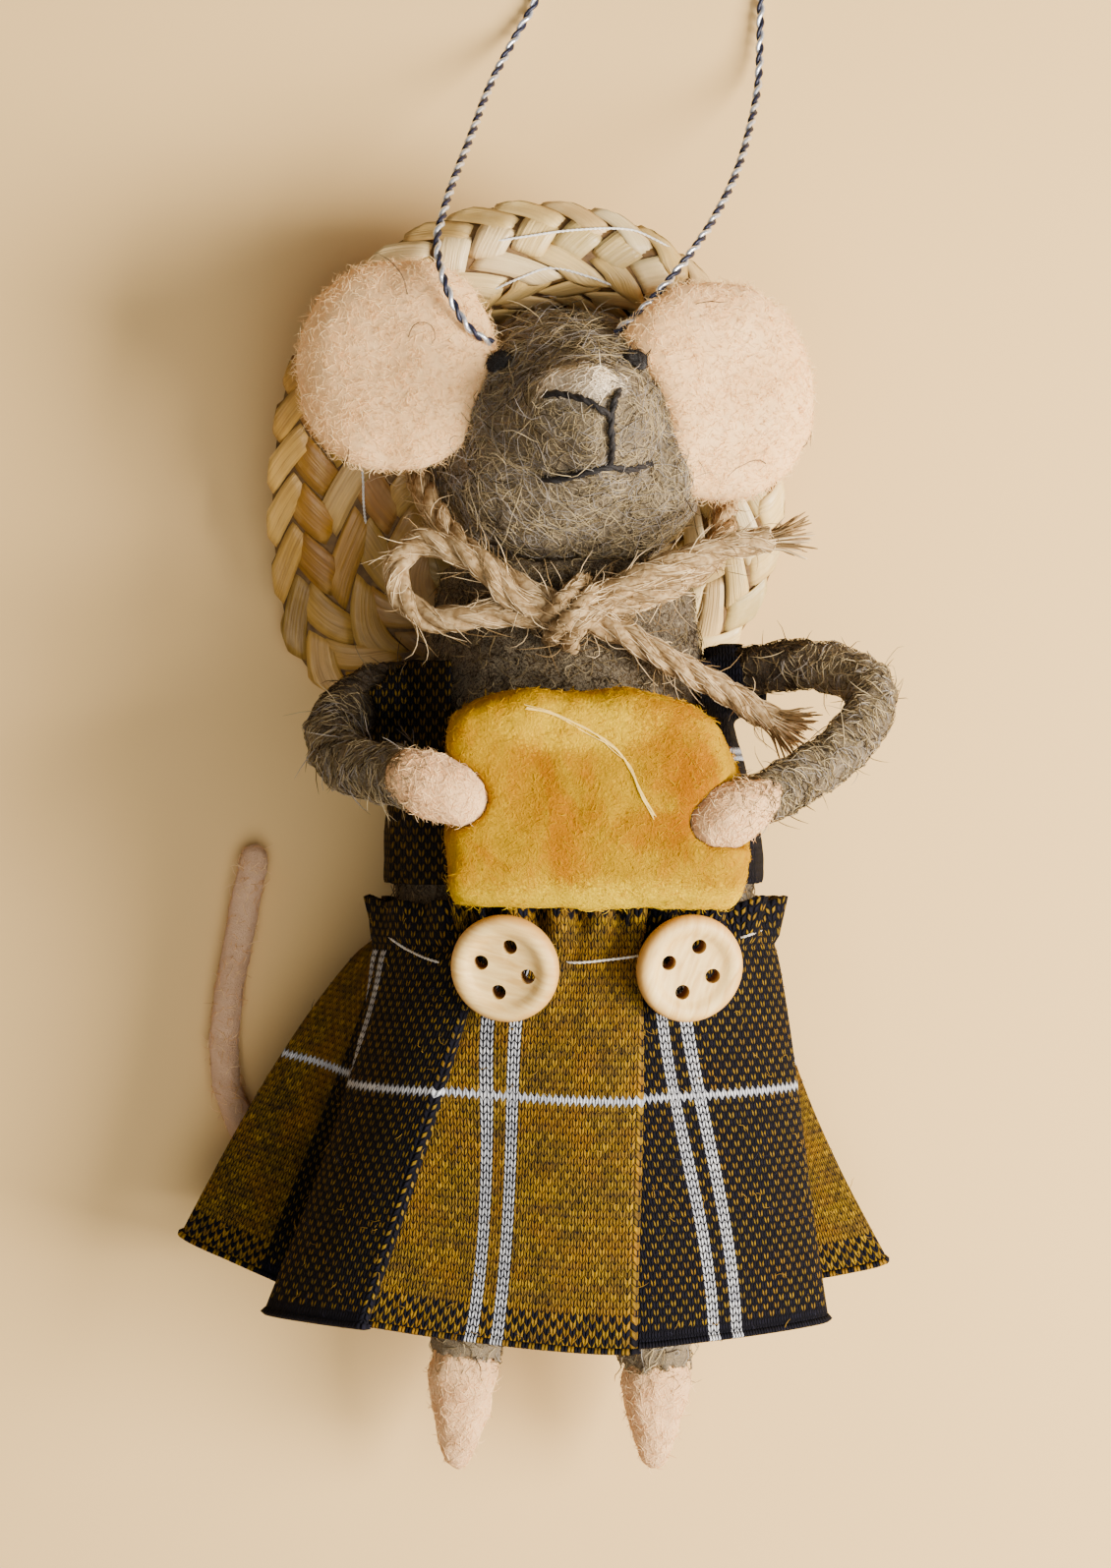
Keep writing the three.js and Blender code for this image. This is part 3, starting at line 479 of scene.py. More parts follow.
def yarnMaterial(name, colour, other, sockets, fineness=3.0):
    material, tree, shader = newMaterial(name, sockets)
    inputs = {"Vector": inMillimetres(tree), "Scale": fineness, "Detail": 2.0}
    uneven = addNode(tree, "ShaderNodeTexNoise", inputs).outputs[0]
    feed(tree, shader.inputs["Base Color"], mixed(tree, spanned(tree, uneven, 0.35, 0.65), colour, other))
    addBump(tree, shader, uneven, 0.5, 0.12)
    return material


silverYarn = yarnMaterial("silverYarn", paint(238, 238, 242), paint(196, 200, 212),
                          {"Metallic": 0.75, "Roughness": 0.28})
navyYarn = yarnMaterial("navyYarn", paint(30, 32, 58), paint(14, 15, 30),
                        {"Metallic": 0.3, "Roughness": 0.45})

cordLine = smoothLine(cord["route"], cord["step"])
plies = twisted(cordLine, 2, cord["width"] / 4, cord["pitch"])
silverCord = tubes("silverCord", plies, cord["silver"], 1,
                   [[1] * len(cordLine), [cord["navy"] / cord["silver"]] * len(cordLine)], [0, 1])
putInPlace(silverCord, "silver_cord", [silverYarn, navyYarn], ["hanging_cord"])
cordLong = sum((b - a).length for a, b in zip(cordLine, cordLine[1:]))
print(f"cord is {cordLong:.1f} mm long")


print("wool colours")
greyLight = fibreMaterial("greyLightFibre", paint(166, 146, 108))
greyMid = fibreMaterial("greyMidFibre", paint(112, 94, 62))
greyDark = fibreMaterial("greyDarkFibre", paint(46, 34, 19))
greyPale = fibreMaterial("greyPaleFibre", paint(140, 130, 118))
earPale = fibreMaterial("earPaleFibre", paint(254, 217, 158), 0.08)
earWarm = fibreMaterial("earWarmFibre", paint(244, 199, 136), 0.1)
nosePale = fibreMaterial("nosePaleFibre", paint(246, 226, 192), 0.1)
pinkPale = fibreMaterial("pinkPaleFibre", paint(246, 206, 150), 0.12)
pinkWarm = fibreMaterial("pinkWarmFibre", paint(218, 168, 114), 0.15)
darkHair = fibreMaterial("darkHairFibre", paint(84, 68, 50))
cheeseFibre = fibreMaterial("cheeseFibre", paint(186, 138, 0), 0.15, 0.0)
cheesePale = fibreMaterial("cheesePaleFibre", paint(212, 172, 0), 0.1, 0.0)
creamFibre = fibreMaterial("creamFibre", paint(232, 196, 96), 0.08)
juteLight = fibreMaterial("juteLightFibre", paint(210, 182, 138))
juteDark = fibreMaterial("juteDarkFibre", paint(138, 110, 70))

greyWool = {
    "dark": paint(84, 68, 46), "light": paint(134, 115, 86), "fibre": paint(166, 148, 116),
    "curls": 0.55, "sheen": 0.08, "bump": 0.9,
}
headFelt = feltMaterial("headFelt", dict(greyWool, patches=[
    {"place": (4.4, 51.4, 44.5), "reach": (5.2, 2.7, 8.0), "share": 1.0, "colour": paint(248, 226, 192)},
]))
greyFelt = feltMaterial("greyFelt", greyWool)
armFelt = feltMaterial("armFelt", dict(greyWool, patches=[
    # Darker wool on the right upper arm, and painted shade on the left arm, which lies in the body's shadow.
    {"place": (24.0, 18.5, 24.0), "reach": (12.0, 6.0, 9.0), "share": 0.85, "colour": paint(48, 35, 20)},
    {"place": (-20.0, 14.0, 27.0), "reach": (9.0, 9.0, 10.0), "share": 0.8, "colour": paint(50, 37, 22)},
]))
bodyFelt = feltMaterial("bodyFelt", dict(greyWool, dark=paint(40, 28, 13), light=paint(80, 62, 36)))
earFelt = feltMaterial("earFelt", {
    "dark": paint(230, 178, 116), "light": paint(244, 200, 142), "fibre": paint(250, 214, 160),
    "curls": 0.2, "sheen": 0.1, "bump": 0.22, "fineness": 1.4,
})
pinkFelt = feltMaterial("pinkFelt", {
    "dark": paint(198, 144, 94), "light": paint(234, 188, 132), "fibre": paint(244, 208, 158),
    "curls": 0.35, "sheen": 0.12, "bump": 0.5,
})
tailFelt = feltMaterial("tailFelt", {
    "dark": paint(196, 152, 114), "light": paint(220, 178, 140), "fibre": paint(234, 198, 162),
    "curls": 0.3, "sheen": 0.12, "bump": 0.5,
})


print("head")
head = {
    "felt": {"voxel": 0.62, "smooth": 26, "lumps": [(5.0, 0.9), (1.3, 0.5)]},
    "curls": {"seed": 11, "count": 5700, "long": (2.2, 5.2), "steps": 4, "curl": 0.6, "loose": 0.1,
              "looseLong": 1.1, "lift": 0.35, "width": 0.09, "wools": 4},
    "hairs": {"seed": 12, "count": 1100, "long": (6.0, 12.0), "steps": 8, "curl": 0.32, "loose": 0.04,
              "lift": 0.6, "width": 0.07, "wools": 2},
    "curlsFrom": 15, "hairsFrom": 18, "hairsTo": 41,
    "nose": {"x": 4.4, "y": 51.4, "wide": 4.8, "high": 2.3, "from": 35},
    "cheek": {"place": Vector((16.0, 40.5, 27.0)), "reach": 10.5, "shift": Vector((1.2, 0.0, 4.6))},
}
headShape = feltOver(copyOf("headFelt", "head"), head["felt"])
# The right cheek's wool swells over the edge of the ear.
for vert in headShape.data.vertices:
    near = 1 - min(1, (vert.co - head["cheek"]["place"]).length / head["cheek"]["reach"]) ** 2
    vert.co += head["cheek"]["shift"] * near ** 2


def headWool(place, rng):
    # Pink wool on the nose, and a mix of greys elsewhere.
    nose = head["nose"]
    far = math.hypot((place.x - nose["x"]) / nose["wide"], (place.y - nose["y"]) / nose["high"])
    onNose = far < rng.uniform(0.7, 1.2) and place.z > nose["from"]
    return 4 if onNose else rng.choice((0, 0, 0, 0, 1, 1, 2, 3, 3))


headCurls = strewFibres("headCurls", headShape, head["curls"],
                        keep=lambda place, normal: place.z > head["curlsFrom"], choose=headWool)
headHairs = strewFibres("headHairs", headShape, head["hairs"],
                        keep=lambda place, normal: head["hairsFrom"] < place.z < head["hairsTo"])
headTree = treeOf(headShape)
putInPlace(headShape, "grey_felt", [headFelt], ["head"])
putInPlace(headCurls, "grey_felt", [greyLight, greyMid, greyDark, greyPale, nosePale])
putInPlace(headHairs, "grey_felt", [greyLight, greyPale])

print("eyes")
eyes = {
    "felt": {"voxel": 0.16, "smooth": 5, "lumps": [(0.6, 0.25)]},
    "fuzz": {"count": 130, "long": (0.6, 1.6), "steps": 3, "curl": 0.6, "loose": 0.2, "lift": 0.12,
             "width": 0.11, "wools": 1},
}
darkWool = feltMaterial("darkWool", {
    "dark": paint(16, 13, 11), "light": paint(34, 29, 25), "fibre": paint(60, 52, 46),
    "curls": 0.4, "sheen": 0.1, "bump": 0.8, "fineness": 2.0,
})
darkFibre = fibreMaterial("eyeFibre", paint(34, 28, 24))
for number, side in enumerate(("left", "right")):
    eye = feltOver(copyOf(f"{side}Eye", f"eye_{side}"), eyes["felt"])
    fuzz = strewFibres(f"{side}EyeFuzz", eye, dict(eyes["fuzz"], seed=21 + number))
    putInPlace(eye, "dark_wool", [darkWool], [f"eye_{side}"])
    putInPlace(fuzz, "dark_wool", [darkFibre])

print("mouth")
mouth = {
    "middle": (6.8, 46.9),
    "width": 0.98, "lift": 1.0, "sunk": 0.8, "pitch": 3.4, "step": 0.25,
    "strokes": [
        [(-6.4, 3.1), (-5.2, 3.15), (-3.9, 2.9), (-1.9, 2.2), (0.2, 1.0), (1.25, 0.4)],
        [(2.1, 3.5), (1.6, 2.2), (1.25, 0.9), (1.15, -0.9), (1.3, -3.0), (1.0, -5.0)],
        [(-6.5, -5.9), (-5.4, -6.2), (-4.2, -6.1), (-1.7, -5.6), (1.0, -5.0), (3.3, -5.1), (5.9, -4.0)],
    ],
    "fuzz": {"seed": 31, "count": 220, "long": (0.6, 1.5), "steps": 3, "curl": 0.4, "loose": 0.45,
             "lift": 0.08, "width": 0.07, "spread": 0.4, "wools": 1},
}
blackThread = yarnMaterial("blackThread", paint(22, 20, 20), paint(44, 40, 38),
                           {"Roughness": 0.75, "Specular IOR Level": 0.25}, 5.0)
threadLines = []
for stroke in mouth["strokes"]:
    line = [droppedOn(headTree, mouth["middle"][0] + x, mouth["middle"][1] + y, mouth["lift"])
            for x, y in stroke]
    line[0].z -= mouth["sunk"]
    line[-1].z -= mouth["sunk"]
    threadLines += twisted(smoothLine(line, mouth["step"]), 2, mouth["width"] * 0.16, mouth["pitch"])
stitches = tubes("mouthThread", threadLines, mouth["width"] * 0.28, 2)
threadFuzz = strewFibres("mouthThreadFuzz", stitches, mouth["fuzz"], grain=alongLines(threadLines))
putInPlace(stitches, "black_thread", [blackThread], ["mouth_stitch"])
putInPlace(threadFuzz, "black_thread", [darkFibre])

print("ears")
ears = {
    "felt": {"voxel": 0.62, "smooth": 34, "swell": 0.9, "lumps": [(9.0, 0.6), (1.0, 0.06)]},
    "fuzz": {"count": 5600, "long": (0.9, 2.4), "steps": 3, "curl": 0.7, "loose": 0.7, "lift": 0.12,
             "looseLong": 0.8, "width": 0.06, "wools": 2},
    "hairs": {"count": 6, "long": (4.0, 9.0), "steps": 8, "curl": 0.22, "loose": 0.7, "lift": 0.3,
              "width": 0.11, "wools": 1},
}
for number, side in enumerate(("left", "right")):
    ear = feltOver(copyOf(f"{side}Ear", f"ear_{side}"), ears["felt"])
    fuzz = strewFibres(f"{side}EarFuzz", ear, dict(ears["fuzz"], seed=41 + number))
    hairs = strewFibres(f"{side}EarHairs", ear, dict(ears["hairs"], seed=51 + number),
                        keep=lambda place, normal: normal.z > -0.2)
    putInPlace(ear, "ear_felt", [earFelt], [f"ear_{side}"])
    putInPlace(fuzz, "ear_felt", [earPale, earWarm])
    putInPlace(hairs, "ear_felt", [darkHair])

print("torso")
torso = {
    "felt": {"voxel": 0.75, "smooth": 20, "lumps": [(6.0, 1.0), (1.4, 0.5)]},
    "curls": {"seed": 61, "count": 6800, "long": (1.6, 4.0), "steps": 4, "curl": 0.6, "loose": 0.14,
              "lift": 0.35, "width": 0.095, "wools": 4},
    "bareBelow": -8, "bareUnder": 8,  # in y and z, where the dress hides the wool
}
torsoShape = feltOver(copyOf("torsoFelt", "torso"), torso["felt"])
torsoCurls = strewFibres(
    "torsoCurls", torsoShape, torso["curls"],
    keep=lambda place, normal: place.y > torso["bareBelow"] and place.z > torso["bareUnder"],
    choose=lambda place, rng: rng.choice((0, 1, 1, 1, 2, 2, 2, 2)),
)
torsoTree = treeOf(torsoShape)
putInPlace(torsoShape, "grey_felt", [bodyFelt], ["torso"])
putInPlace(torsoCurls, "grey_felt", [greyLight, greyMid, greyDark, greyPale])

print("arms")
arms = {
    "left": {
        "radius": 3.7,
        "route": [(-13.0, 16.6, 22), (-19.4, 16.8, 24.5), (-23.8, 12.6, 30), (-22.0, 8.6, 38),
                  (-16.6, 7.1, 45), (-13.2, 6.4, 48.6)],
    },
    "right": {
        "radius": 3.2,
        "route": [(17.0, 17.0, 21), (24.6, 19.4, 24.5), (32.8, 19.8, 28.5), (38.0, 16.8, 33),
                  (35.4, 11.2, 39), (28.8, 6.4, 45), (24.6, 4.2, 47.7)],
    },
    "strand": 0.85, "wrap": 1.9, "step": 0.45, "core": 0.86,
    # The darker colours below this height are darker wool on the right arm and painted shade on the left
    # arm.
    "darkWoolAndShadeUnder": 29,  # below this height the wool is in the darker colours
    "felt": {"voxel": 0.36, "smooth": 3, "lumps": [(2.5, 0.5), (0.7, 0.22)]},
    "curls": {"count": 2200, "long": (2.0, 5.0), "steps": 4, "curl": 0.25, "loose": 0.05, "lift": 0.3,
              "width": 0.1, "spread": 0.3, "wools": 4},
}
for number, side in enumerate(("left", "right")):
    limb = arms[side]
    line = smoothLine(limb["route"], arms["step"])
    core = tubes(f"{side}ArmCore", [line], limb["radius"] * arms["core"], 4)
    wraps = twisted(line, 1, limb["radius"] - arms["strand"] * 0.95, arms["wrap"])
    wound = tubes(f"{side}ArmWool", wraps, arms["strand"], 2)
    shape = bmesh.new()
    for part in (core, wound):
        shape.from_mesh(part.data)
        bpy.data.objects.remove(part)
    arm = feltOver(objectFrom(shape, f"{side}Arm"), arms["felt"])
    curls = strewFibres(
        f"{side}ArmCurls", arm, dict(arms["curls"], seed=71 + number), grain=alongLines(wraps),
        choose=lambda place, rng: rng.choice((1, 2, 2, 2) if place.z < arms["darkWoolAndShadeUnder"]
                                             else (0, 0, 1, 1, 2, 3)),
    )
    putInPlace(arm, "grey_felt", [armFelt], [f"arm_{side}"])
    putInPlace(curls, "grey_felt", [greyLight, greyMid, greyDark, greyPale])

print("hands, legs, feet and tail")
limbs = {
    "hand": {
        "felt": {"voxel": 0.38, "smooth": 14, "lumps": [(2.8, 0.6), (0.8, 0.1)]},
        "fuzz": {"count": 1300, "long": (1.2, 3.0), "steps": 3, "curl": 0.4, "loose": 0.25,
                 "looseLong": 0.45, "lift": 0.1, "width": 0.07, "wools": 4},
        "joins": {"left": (-17.3, 9.2), "right": (27.4, 5.6)},
    },
    "leg": {
        "felt": {"voxel": 0.5, "smooth": 8, "lumps": [(3.0, 0.8), (1.1, 0.4)]},
        "fuzz": {"count": 700, "long": (1.8, 4.2), "steps": 4, "curl": 0.5, "loose": 0.14, "lift": 0.35,
                 "width": 0.13, "wools": 4},
    },
    "foot": {
        "felt": {"voxel": 0.42, "smooth": 12, "lumps": [(2.8, 0.8), (0.9, 0.14)]},
        "fuzz": {"count": 1200, "long": (1.2, 3.2), "steps": 3, "curl": 0.45, "loose": 0.25,
                 "looseLong": 0.5, "lift": 0.12, "width": 0.07, "wools": 4},
        "joins": {"left": (-9.0, -59.0), "right": (14.0, -60.0)},
    },
    "greyReach": 7, "greyShare": 0.9,
}
wristTaper = {"end": Vector((27.2, 5.8, 48.6)), "ahead": Vector((-0.88, -0.47, 0.06)).normalized(),
              "long": 7.0, "share": 0.62}
pinkSet = ([pinkFelt], [pinkPale, pinkPale, pinkWarm, greyMid], "pink_felt")
greySet = ([greyFelt], [greyLight, greyMid, greyDark, greyPale], "grey_felt")


def pinkWool(join):
    # Chooses pink wool, with grey mixed in towards the wrist or the ankle.
    def choose(place, rng):
        near = 1 - min(1, math.hypot(place.x - join[0], place.y - join[1]) / limbs["greyReach"])
        return 3 if rng.random() < limbs["greyShare"] * near else rng.randrange(3)
    return choose


for number, (part, side) in enumerate((p, s) for p in ("hand", "leg", "foot") for s in ("left", "right")):
    facts = limbs[part]
    name = f"{side}{part.capitalize()}"
    skin, wools, slot = greySet if part == "leg" else pinkSet
    shape = feltOver(copyOf(name, f"{part}_{side}"), facts["felt"])
    if name == "rightHand":
        # The wrist end narrows and slips into the wound arm.
        for vert in shape.data.vertices:
            away = (vert.co - wristTaper["end"]).dot(wristTaper["ahead"])
            axis = wristTaper["end"] + wristTaper["ahead"] * away
            width = blend(wristTaper["share"], 1, smoothed(away / wristTaper["long"]))
            vert.co = axis.lerp(vert.co, width)
    fuzz = strewFibres(f"{name}Fuzz", shape, dict(facts["fuzz"], seed=81 + number),
                       choose=pinkWool(facts["joins"][side]) if "joins" in facts else None)
    putInPlace(shape, slot, skin, [f"{part}_{side}"])
    putInPlace(fuzz, slot, wools)

tail = {
    "felt": {"voxel": 0.36, "smooth": 10, "lumps": [(4.0, 0.6), (0.8, 0.2)]},
    "fuzz": {"seed": 91, "count": 900, "long": (0.9, 2.2), "steps": 3, "curl": 0.4, "loose": 0.2,
             "lift": 0.2, "width": 0.10, "wools": 2},
}
tailShape = feltOver(copyOf("tailFelt", "tail"), tail["felt"])
tailFuzz = strewFibres("tailFuzz", tailShape, tail["fuzz"])
putInPlace(tailShape, "pink_felt", [tailFelt], ["tail"])
putInPlace(tailFuzz, "pink_felt", [pinkWarm, pinkPale])

print("cheese")
cheese = {
    "felt": {"voxel": 0.55, "smooth": 26, "lumps": [(9.0, 1.6), (2.4, 0.2)]},
    "fuzz": {"seed": 95, "count": 3600, "long": (0.7, 2.0), "steps": 3, "curl": 0.4, "loose": 0.3,
             "looseLong": 0.7, "lift": 0.12, "width": 0.06, "wools": 2},
    "paleAndLitBelow": -5.5,
    "strands": {"seed": 96, "count": 7, "aside": 0.12, "along": 0.2, "lift": 0.12, "step": 0.5,
                "radius": 0.05},
    "strand": [(-1.6, 14.6), (1.2, 14.0), (5.5, 11.8), (8.3, 10.0), (9.9, 8.0), (11.2, 5.0), (12.6, 2.5)],
}
cheeseFelt = feltMaterial("cheeseFelt", {
    "dark": paint(144, 102, 0), "light": paint(176, 134, 0), "fibre": paint(196, 152, 0),
    "curls": 0.4, "sheen": 0.0, "shine": 0.0, "bump": 0.6, "fineness": 0.9,
    "streaks": {"stretch": (0.17, 0.075, 0.17), "share": 0.75, "colour": paint(156, 92, 0)},
    # Lemon spots at the bottom and top are paler wool and painted highlight; the orange spots are darker
    # wool and painted shade.
    "patches": [
        {"place": (6.6, -8.5, 46.0), "reach": (22.0, 4.4, 9.0), "share": 0.7, "colour": paint(222, 186, 0)},
        {"place": (12.5, 1.0, 50.0), "reach": (5.0, 2.6, 6.0), "share": 0.5, "colour": paint(136, 70, 0)},
        {"place": (17.5, 6.5, 50.0), "reach": (2.6, 5.4, 6.0), "share": 0.45, "colour": paint(136, 70, 0)},
        {"place": (-1.5, 6.5, 51.0), "reach": (2.6, 6.6, 5.0), "share": 0.35, "colour": paint(146, 80, 0)},
        {"place": (4.0, 12.5, 51.0), "reach": (9.0, 3.0, 5.0), "share": 0.55, "colour": paint(220, 178, 0)},
    ],
})
cheeseShape = feltOver(copyOf("cheeseFelt", "cheese"), cheese["felt"])
# Paler fibres on the lower part: paler wool and painted highlight, as with the lemon spot there.
cheeseFuzz = strewFibres("cheeseFuzz", cheeseShape, cheese["fuzz"],
                         choose=lambda place, rng: int(place.y < cheese["paleAndLitBelow"] and rng.random() < 0.7))
# A pinch of cream fibres that lies across the front.
cheeseTree = treeOf(cheeseShape)
facts = cheese["strands"]
rng = random.Random(facts["seed"])
strands = []
for _ in range(facts["count"]):
    line = [droppedOn(cheeseTree, x + rng.gauss(0, facts["aside"]), y + rng.gauss(0, facts["along"]),
                      facts["lift"]) for x, y in cheese["strand"]]
    strands.append(smoothLine(line, facts["step"]))
cheeseStrand = tubes("cheeseStrand", strands, facts["radius"], 0)
putInPlace(cheeseShape, "cheese_felt", [cheeseFelt], ["cheese"])
putInPlace(cheeseFuzz, "cheese_felt", [cheeseFibre, cheesePale])
putInPlace(cheeseStrand, "cheese_felt", [creamFibre])


print("twine")
twine = {
    "plies": 3, "ply": 0.86, "offset": 0.72, "pitch": 11.5, "step": 0.8,
    "knot": {"plies": 2, "ply": 0.8, "offset": 0.5, "pitch": 4.2, "step": 0.6},
    "tie": [
        (3.4, 25.8, 37.4), (-4.2, 29.6, 36.2), (-10.6, 35.2, 30.0), (-14.0, 41.2, 23.6), (-14.0, 44.6, 15.0),
        (-8.2, 46.0, 6.6), (3.1, 46.2, 3.3), (14.4, 46.0, 6.6), (20.6, 43.2, 15.0), (21.6, 37.4, 23.0),
        (19.2, 31.6, 29.5), (14.2, 28.6, 34.6), (8.4, 26.8, 37.2), (3.4, 25.8, 37.4),
    ],
    "loop": [
        (3.4, 25.8, 37.4), (-3.0, 27.2, 38.1), (-6.5, 31.0, 37.9), (-10.0, 32.8, 36.6), (-13.4, 33.9, 35.6),
        (-15.8, 32.3, 35.0), (-16.6, 29.6, 34.8), (-15.1, 26.6, 35.0), (-12.3, 25.0, 35.6),
        (-8.8, 25.2, 36.2), (-4.4, 25.6, 36.4), (0.6, 25.4, 36.8), (3.0, 25.4, 37.2),
    ],
    "upper": [
        (4.6, 26.2, 37.6), (9.6, 28.8, 38.6), (13.6, 30.6, 38.8), (17.7, 32.1, 38.4), (21.7, 33.3, 37.6),
        (26.2, 34.0, 36.7),
    ],
    "lower": [
        (5.0, 25.0, 37.5), (9.6, 23.2, 37.9), (13.6, 20.8, 37.7), (17.7, 18.6, 36.8), (21.6, 16.5, 36.0),
        (24.6, 14.6, 35.4), (26.6, 13.4, 35.1),
    ],
    "under": [(6.0, 25.6, 36.2), (9.0, 26.6, 36.8), (12.4, 27.8, 36.9), (15.8, 29.2, 36.4)],
    "knotWraps": [
        [(1.2, 22.8, 35.6), (1.6, 23.4, 38.6), (3.6, 25.2, 40.4), (5.6, 27.4, 39.4), (6.4, 28.4, 36.4)],
        [(3.4, 21.8, 35.8), (3.4, 22.8, 38.8), (5.0, 24.6, 40.0), (6.8, 26.4, 38.6), (7.4, 27.2, 36.2)],
        [(0.4, 25.0, 35.8), (1.0, 25.6, 38.4), (2.6, 27.0, 39.8), (4.2, 28.6, 38.0), (4.8, 29.4, 35.6)],
    ],
    # At each end: how many fibres, how long, and how far they fan out.
    "frays": {"upper": (60, 6.4, 2.4), "lower": (90, 6.2, 2.7), "under": (12, 2.4, 0.9)},
    "fray": {"seed": 103, "radius": 0.11, "back": 1.4, "step": 0.8},
    "fibres": {"seed": 101, "count": 3400, "long": (2.0, 5.5), "steps": 4, "curl": 0.1, "loose": 0.1,
               "lift": 0.16, "width": 0.10, "spread": 0.16, "wools": 2},
    "hairs": {"seed": 102, "count": 420, "long": (2.0, 6.0), "steps": 5, "curl": 0.3, "loose": 1.0,
              "lift": 0.3, "width": 0.09, "spread": 0.9, "wools": 2},
}
juteYarn = yarnMaterial("juteYarn", paint(172, 144, 102), paint(128, 100, 62),
                        {"Roughness": 0.9, "Specular IOR Level": 0.2}, 1.4)
windings = []
for part in ("tie", "loop", "upper", "lower", "under"):
    line = smoothLine(twine[part], twine["step"])
    windings += twisted(line, twine["plies"], twine["offset"], twine["pitch"], start=len(windings))
plain = len(windings)
knot = twine["knot"]
for wrap in twine["knotWraps"]:
    line = smoothLine(wrap, knot["step"])
    windings += twisted(line, knot["plies"], knot["offset"], knot["pitch"], start=len(windings))
bowShares = [[1 if k < plain else knot["ply"]] * len(line) for k, line in enumerate(windings)]
bow = tubes("twineBow", windings, twine["ply"], 2, bowShares)
bowGrain = alongLines(windings)
bowFibres = strewFibres("twineFibres", bow, twine["fibres"], grain=bowGrain)
bowHairs = strewFibres("twineHairs", bow, twine["hairs"], grain=bowGrain)
fray = twine["fray"]
rng = random.Random(fray["seed"])
frayed = []
for part, (count, long, spread) in twine["frays"].items():
    end, before = Vector(twine[part][-1]), Vector(twine[part][-2])
    ahead = (end - before).normalized()
    aside = ahead.orthogonal().normalized()
    up = ahead.cross(aside)
    for _ in range(count):
        turn = rng.uniform(0, 2 * math.pi)
        out = aside * math.cos(turn) + up * math.sin(turn)
        fan = rng.uniform(0.2, 1) * spread
        reach = long * rng.uniform(0.55, 1)
        root = end - ahead * fray["back"] + out * rng.uniform(0.2, 1.2)
        bend = root + ahead * reach * 0.5 + out * fan * 0.25
        last = root + ahead * reach + out * fan + Vector((0, 0, rng.gauss(0, 0.4)))
        frayed.append(smoothLine([root, bend, last], fray["step"]))
brush = tubes("twineFrays", frayed, fray["radius"], 0, [[1] * (len(f) - 1) + [0.4] for f in frayed],
              [rng.randrange(2) for _ in frayed])
putInPlace(bow, "jute", [juteYarn], ["twine_bow"])
for piece in (bowFibres, bowHairs, brush):
    putInPlace(piece, "jute", [juteLight, juteDark])

print("straw hat")
hat = {
    "x": -2.1, "y": 45.4, "crownX": 3.1, "crownY": 46.0, "crownFlat": 13, "crownMouth": 20,
    "brim": 29.3, "rise": 20, "roll": 2.6, "wall": 1.4, "lining": 0.5,
    # The brim's edge as shares of its radius, round from +X.
    "outline": [1.05, 1.04, 1.02, 1.02, 1.0, 0.99, 0.99, 1.01, 1.03, 1.12, 1.26, 1.08, 1.0, 1.06, 1.15,
                1.12],
    # Shares of the way from the crown's centre to the edge: where the flat and the crown's wall end.
    "flatEnds": 0.3, "crownEnds": 0.5,
    "row": 7.9, "rows": 6, "straw": 3.3, "thick": 0.22, "bulge": 0.24, "overlap": 0.9,
    "around": 144, "steps": 70,
}


def brimReach(turn):
    # The brim's radius in a direction, a smooth curve through the outline's shares.
    shares = hat["outline"]
    place = (turn / (2 * math.pi)) % 1 * len(shares)
    first = int(place)
    a, b, c, d = (shares[(first + k) % len(shares)] for k in (-1, 0, 1, 2))
    t = place - first
    curve = b + 0.5 * t * (c - a + t * (2 * a - 5 * b + 4 * c - d + t * (3 * (b - c) + d - a)))
    return curve * hat["brim"]


def brimHeight(x, y):
    share = smoothed((y - hat["y"] + 0.95 * hat["brim"]) / (1.85 * hat["brim"]))
    curl = 0.22 * max(0, abs(x - hat["x"]) - 0.6 * hat["brim"])
    return hat["wall"] / 2 + 1.6 + hat["rise"] * share + curl * (1 - share)


def hatPoint(share, turn):
    # The middle of the straw, from the crown's centre, 0, to the brim's edge, 1.
    out = Vector((math.cos(turn), math.sin(turn), 0))
    centre = Vector((hat["crownX"], hat["crownY"], hat["wall"] / 2))
    flat = centre + out * hat["crownFlat"]
    rim = centre + out * hat["crownMouth"]
    rim.z = brimHeight(rim.x, rim.y)
    flatEnds, crownEnds = hat["flatEnds"], hat["crownEnds"]
    if share <= flatEnds:
        return centre.lerp(flat, share / flatEnds)
    if share <= crownEnds:
        climb = (share - flatEnds) / (crownEnds - flatEnds)
        point = flat.lerp(rim, climb)
        point.z = blend(flat.z, rim.z, climb ** 1.15)
        return point
    along = (share - crownEnds) / (1 - crownEnds)
    edge = Vector((hat["x"], hat["y"], 0)) + out * brimReach(turn)
    point = rim.lerp(edge, along)
    fall = hat["roll"] * smoothed((along - 0.62) / 0.38)
    point.z = max(brimHeight(point.x, point.y) - fall, hat["wall"] / 2)
    return point


# A table of the hat's surface: round it, and inwards from the edge with the way walked so far.
hatAround = hat["around"]
hatInward = [[hatPoint(1 - k / hat["steps"], 2 * math.pi * n / hatAround) for k in range(hat["steps"] + 1)]
             for n in range(hatAround)]
hatWalked = []
for line in hatInward:
    walked = [0]
    for a, b in zip(line, line[1:]):
        walked.append(walked[-1] + (b - a).length)
    hatWalked.append(walked)


def walkIn(number, inward):
    line, walked = hatInward[number % hatAround], hatWalked[number % hatAround]
    low, high = 0, len(line) - 1
    while high - low > 1:
        middle = (low + high) // 2
        low, high = (middle, high) if walked[middle] <= inward else (low, middle)
    share = min(1, max(-1, (inward - walked[low]) / max(1e-6, walked[high] - walked[low])))
    return line[low].lerp(line[high], share)


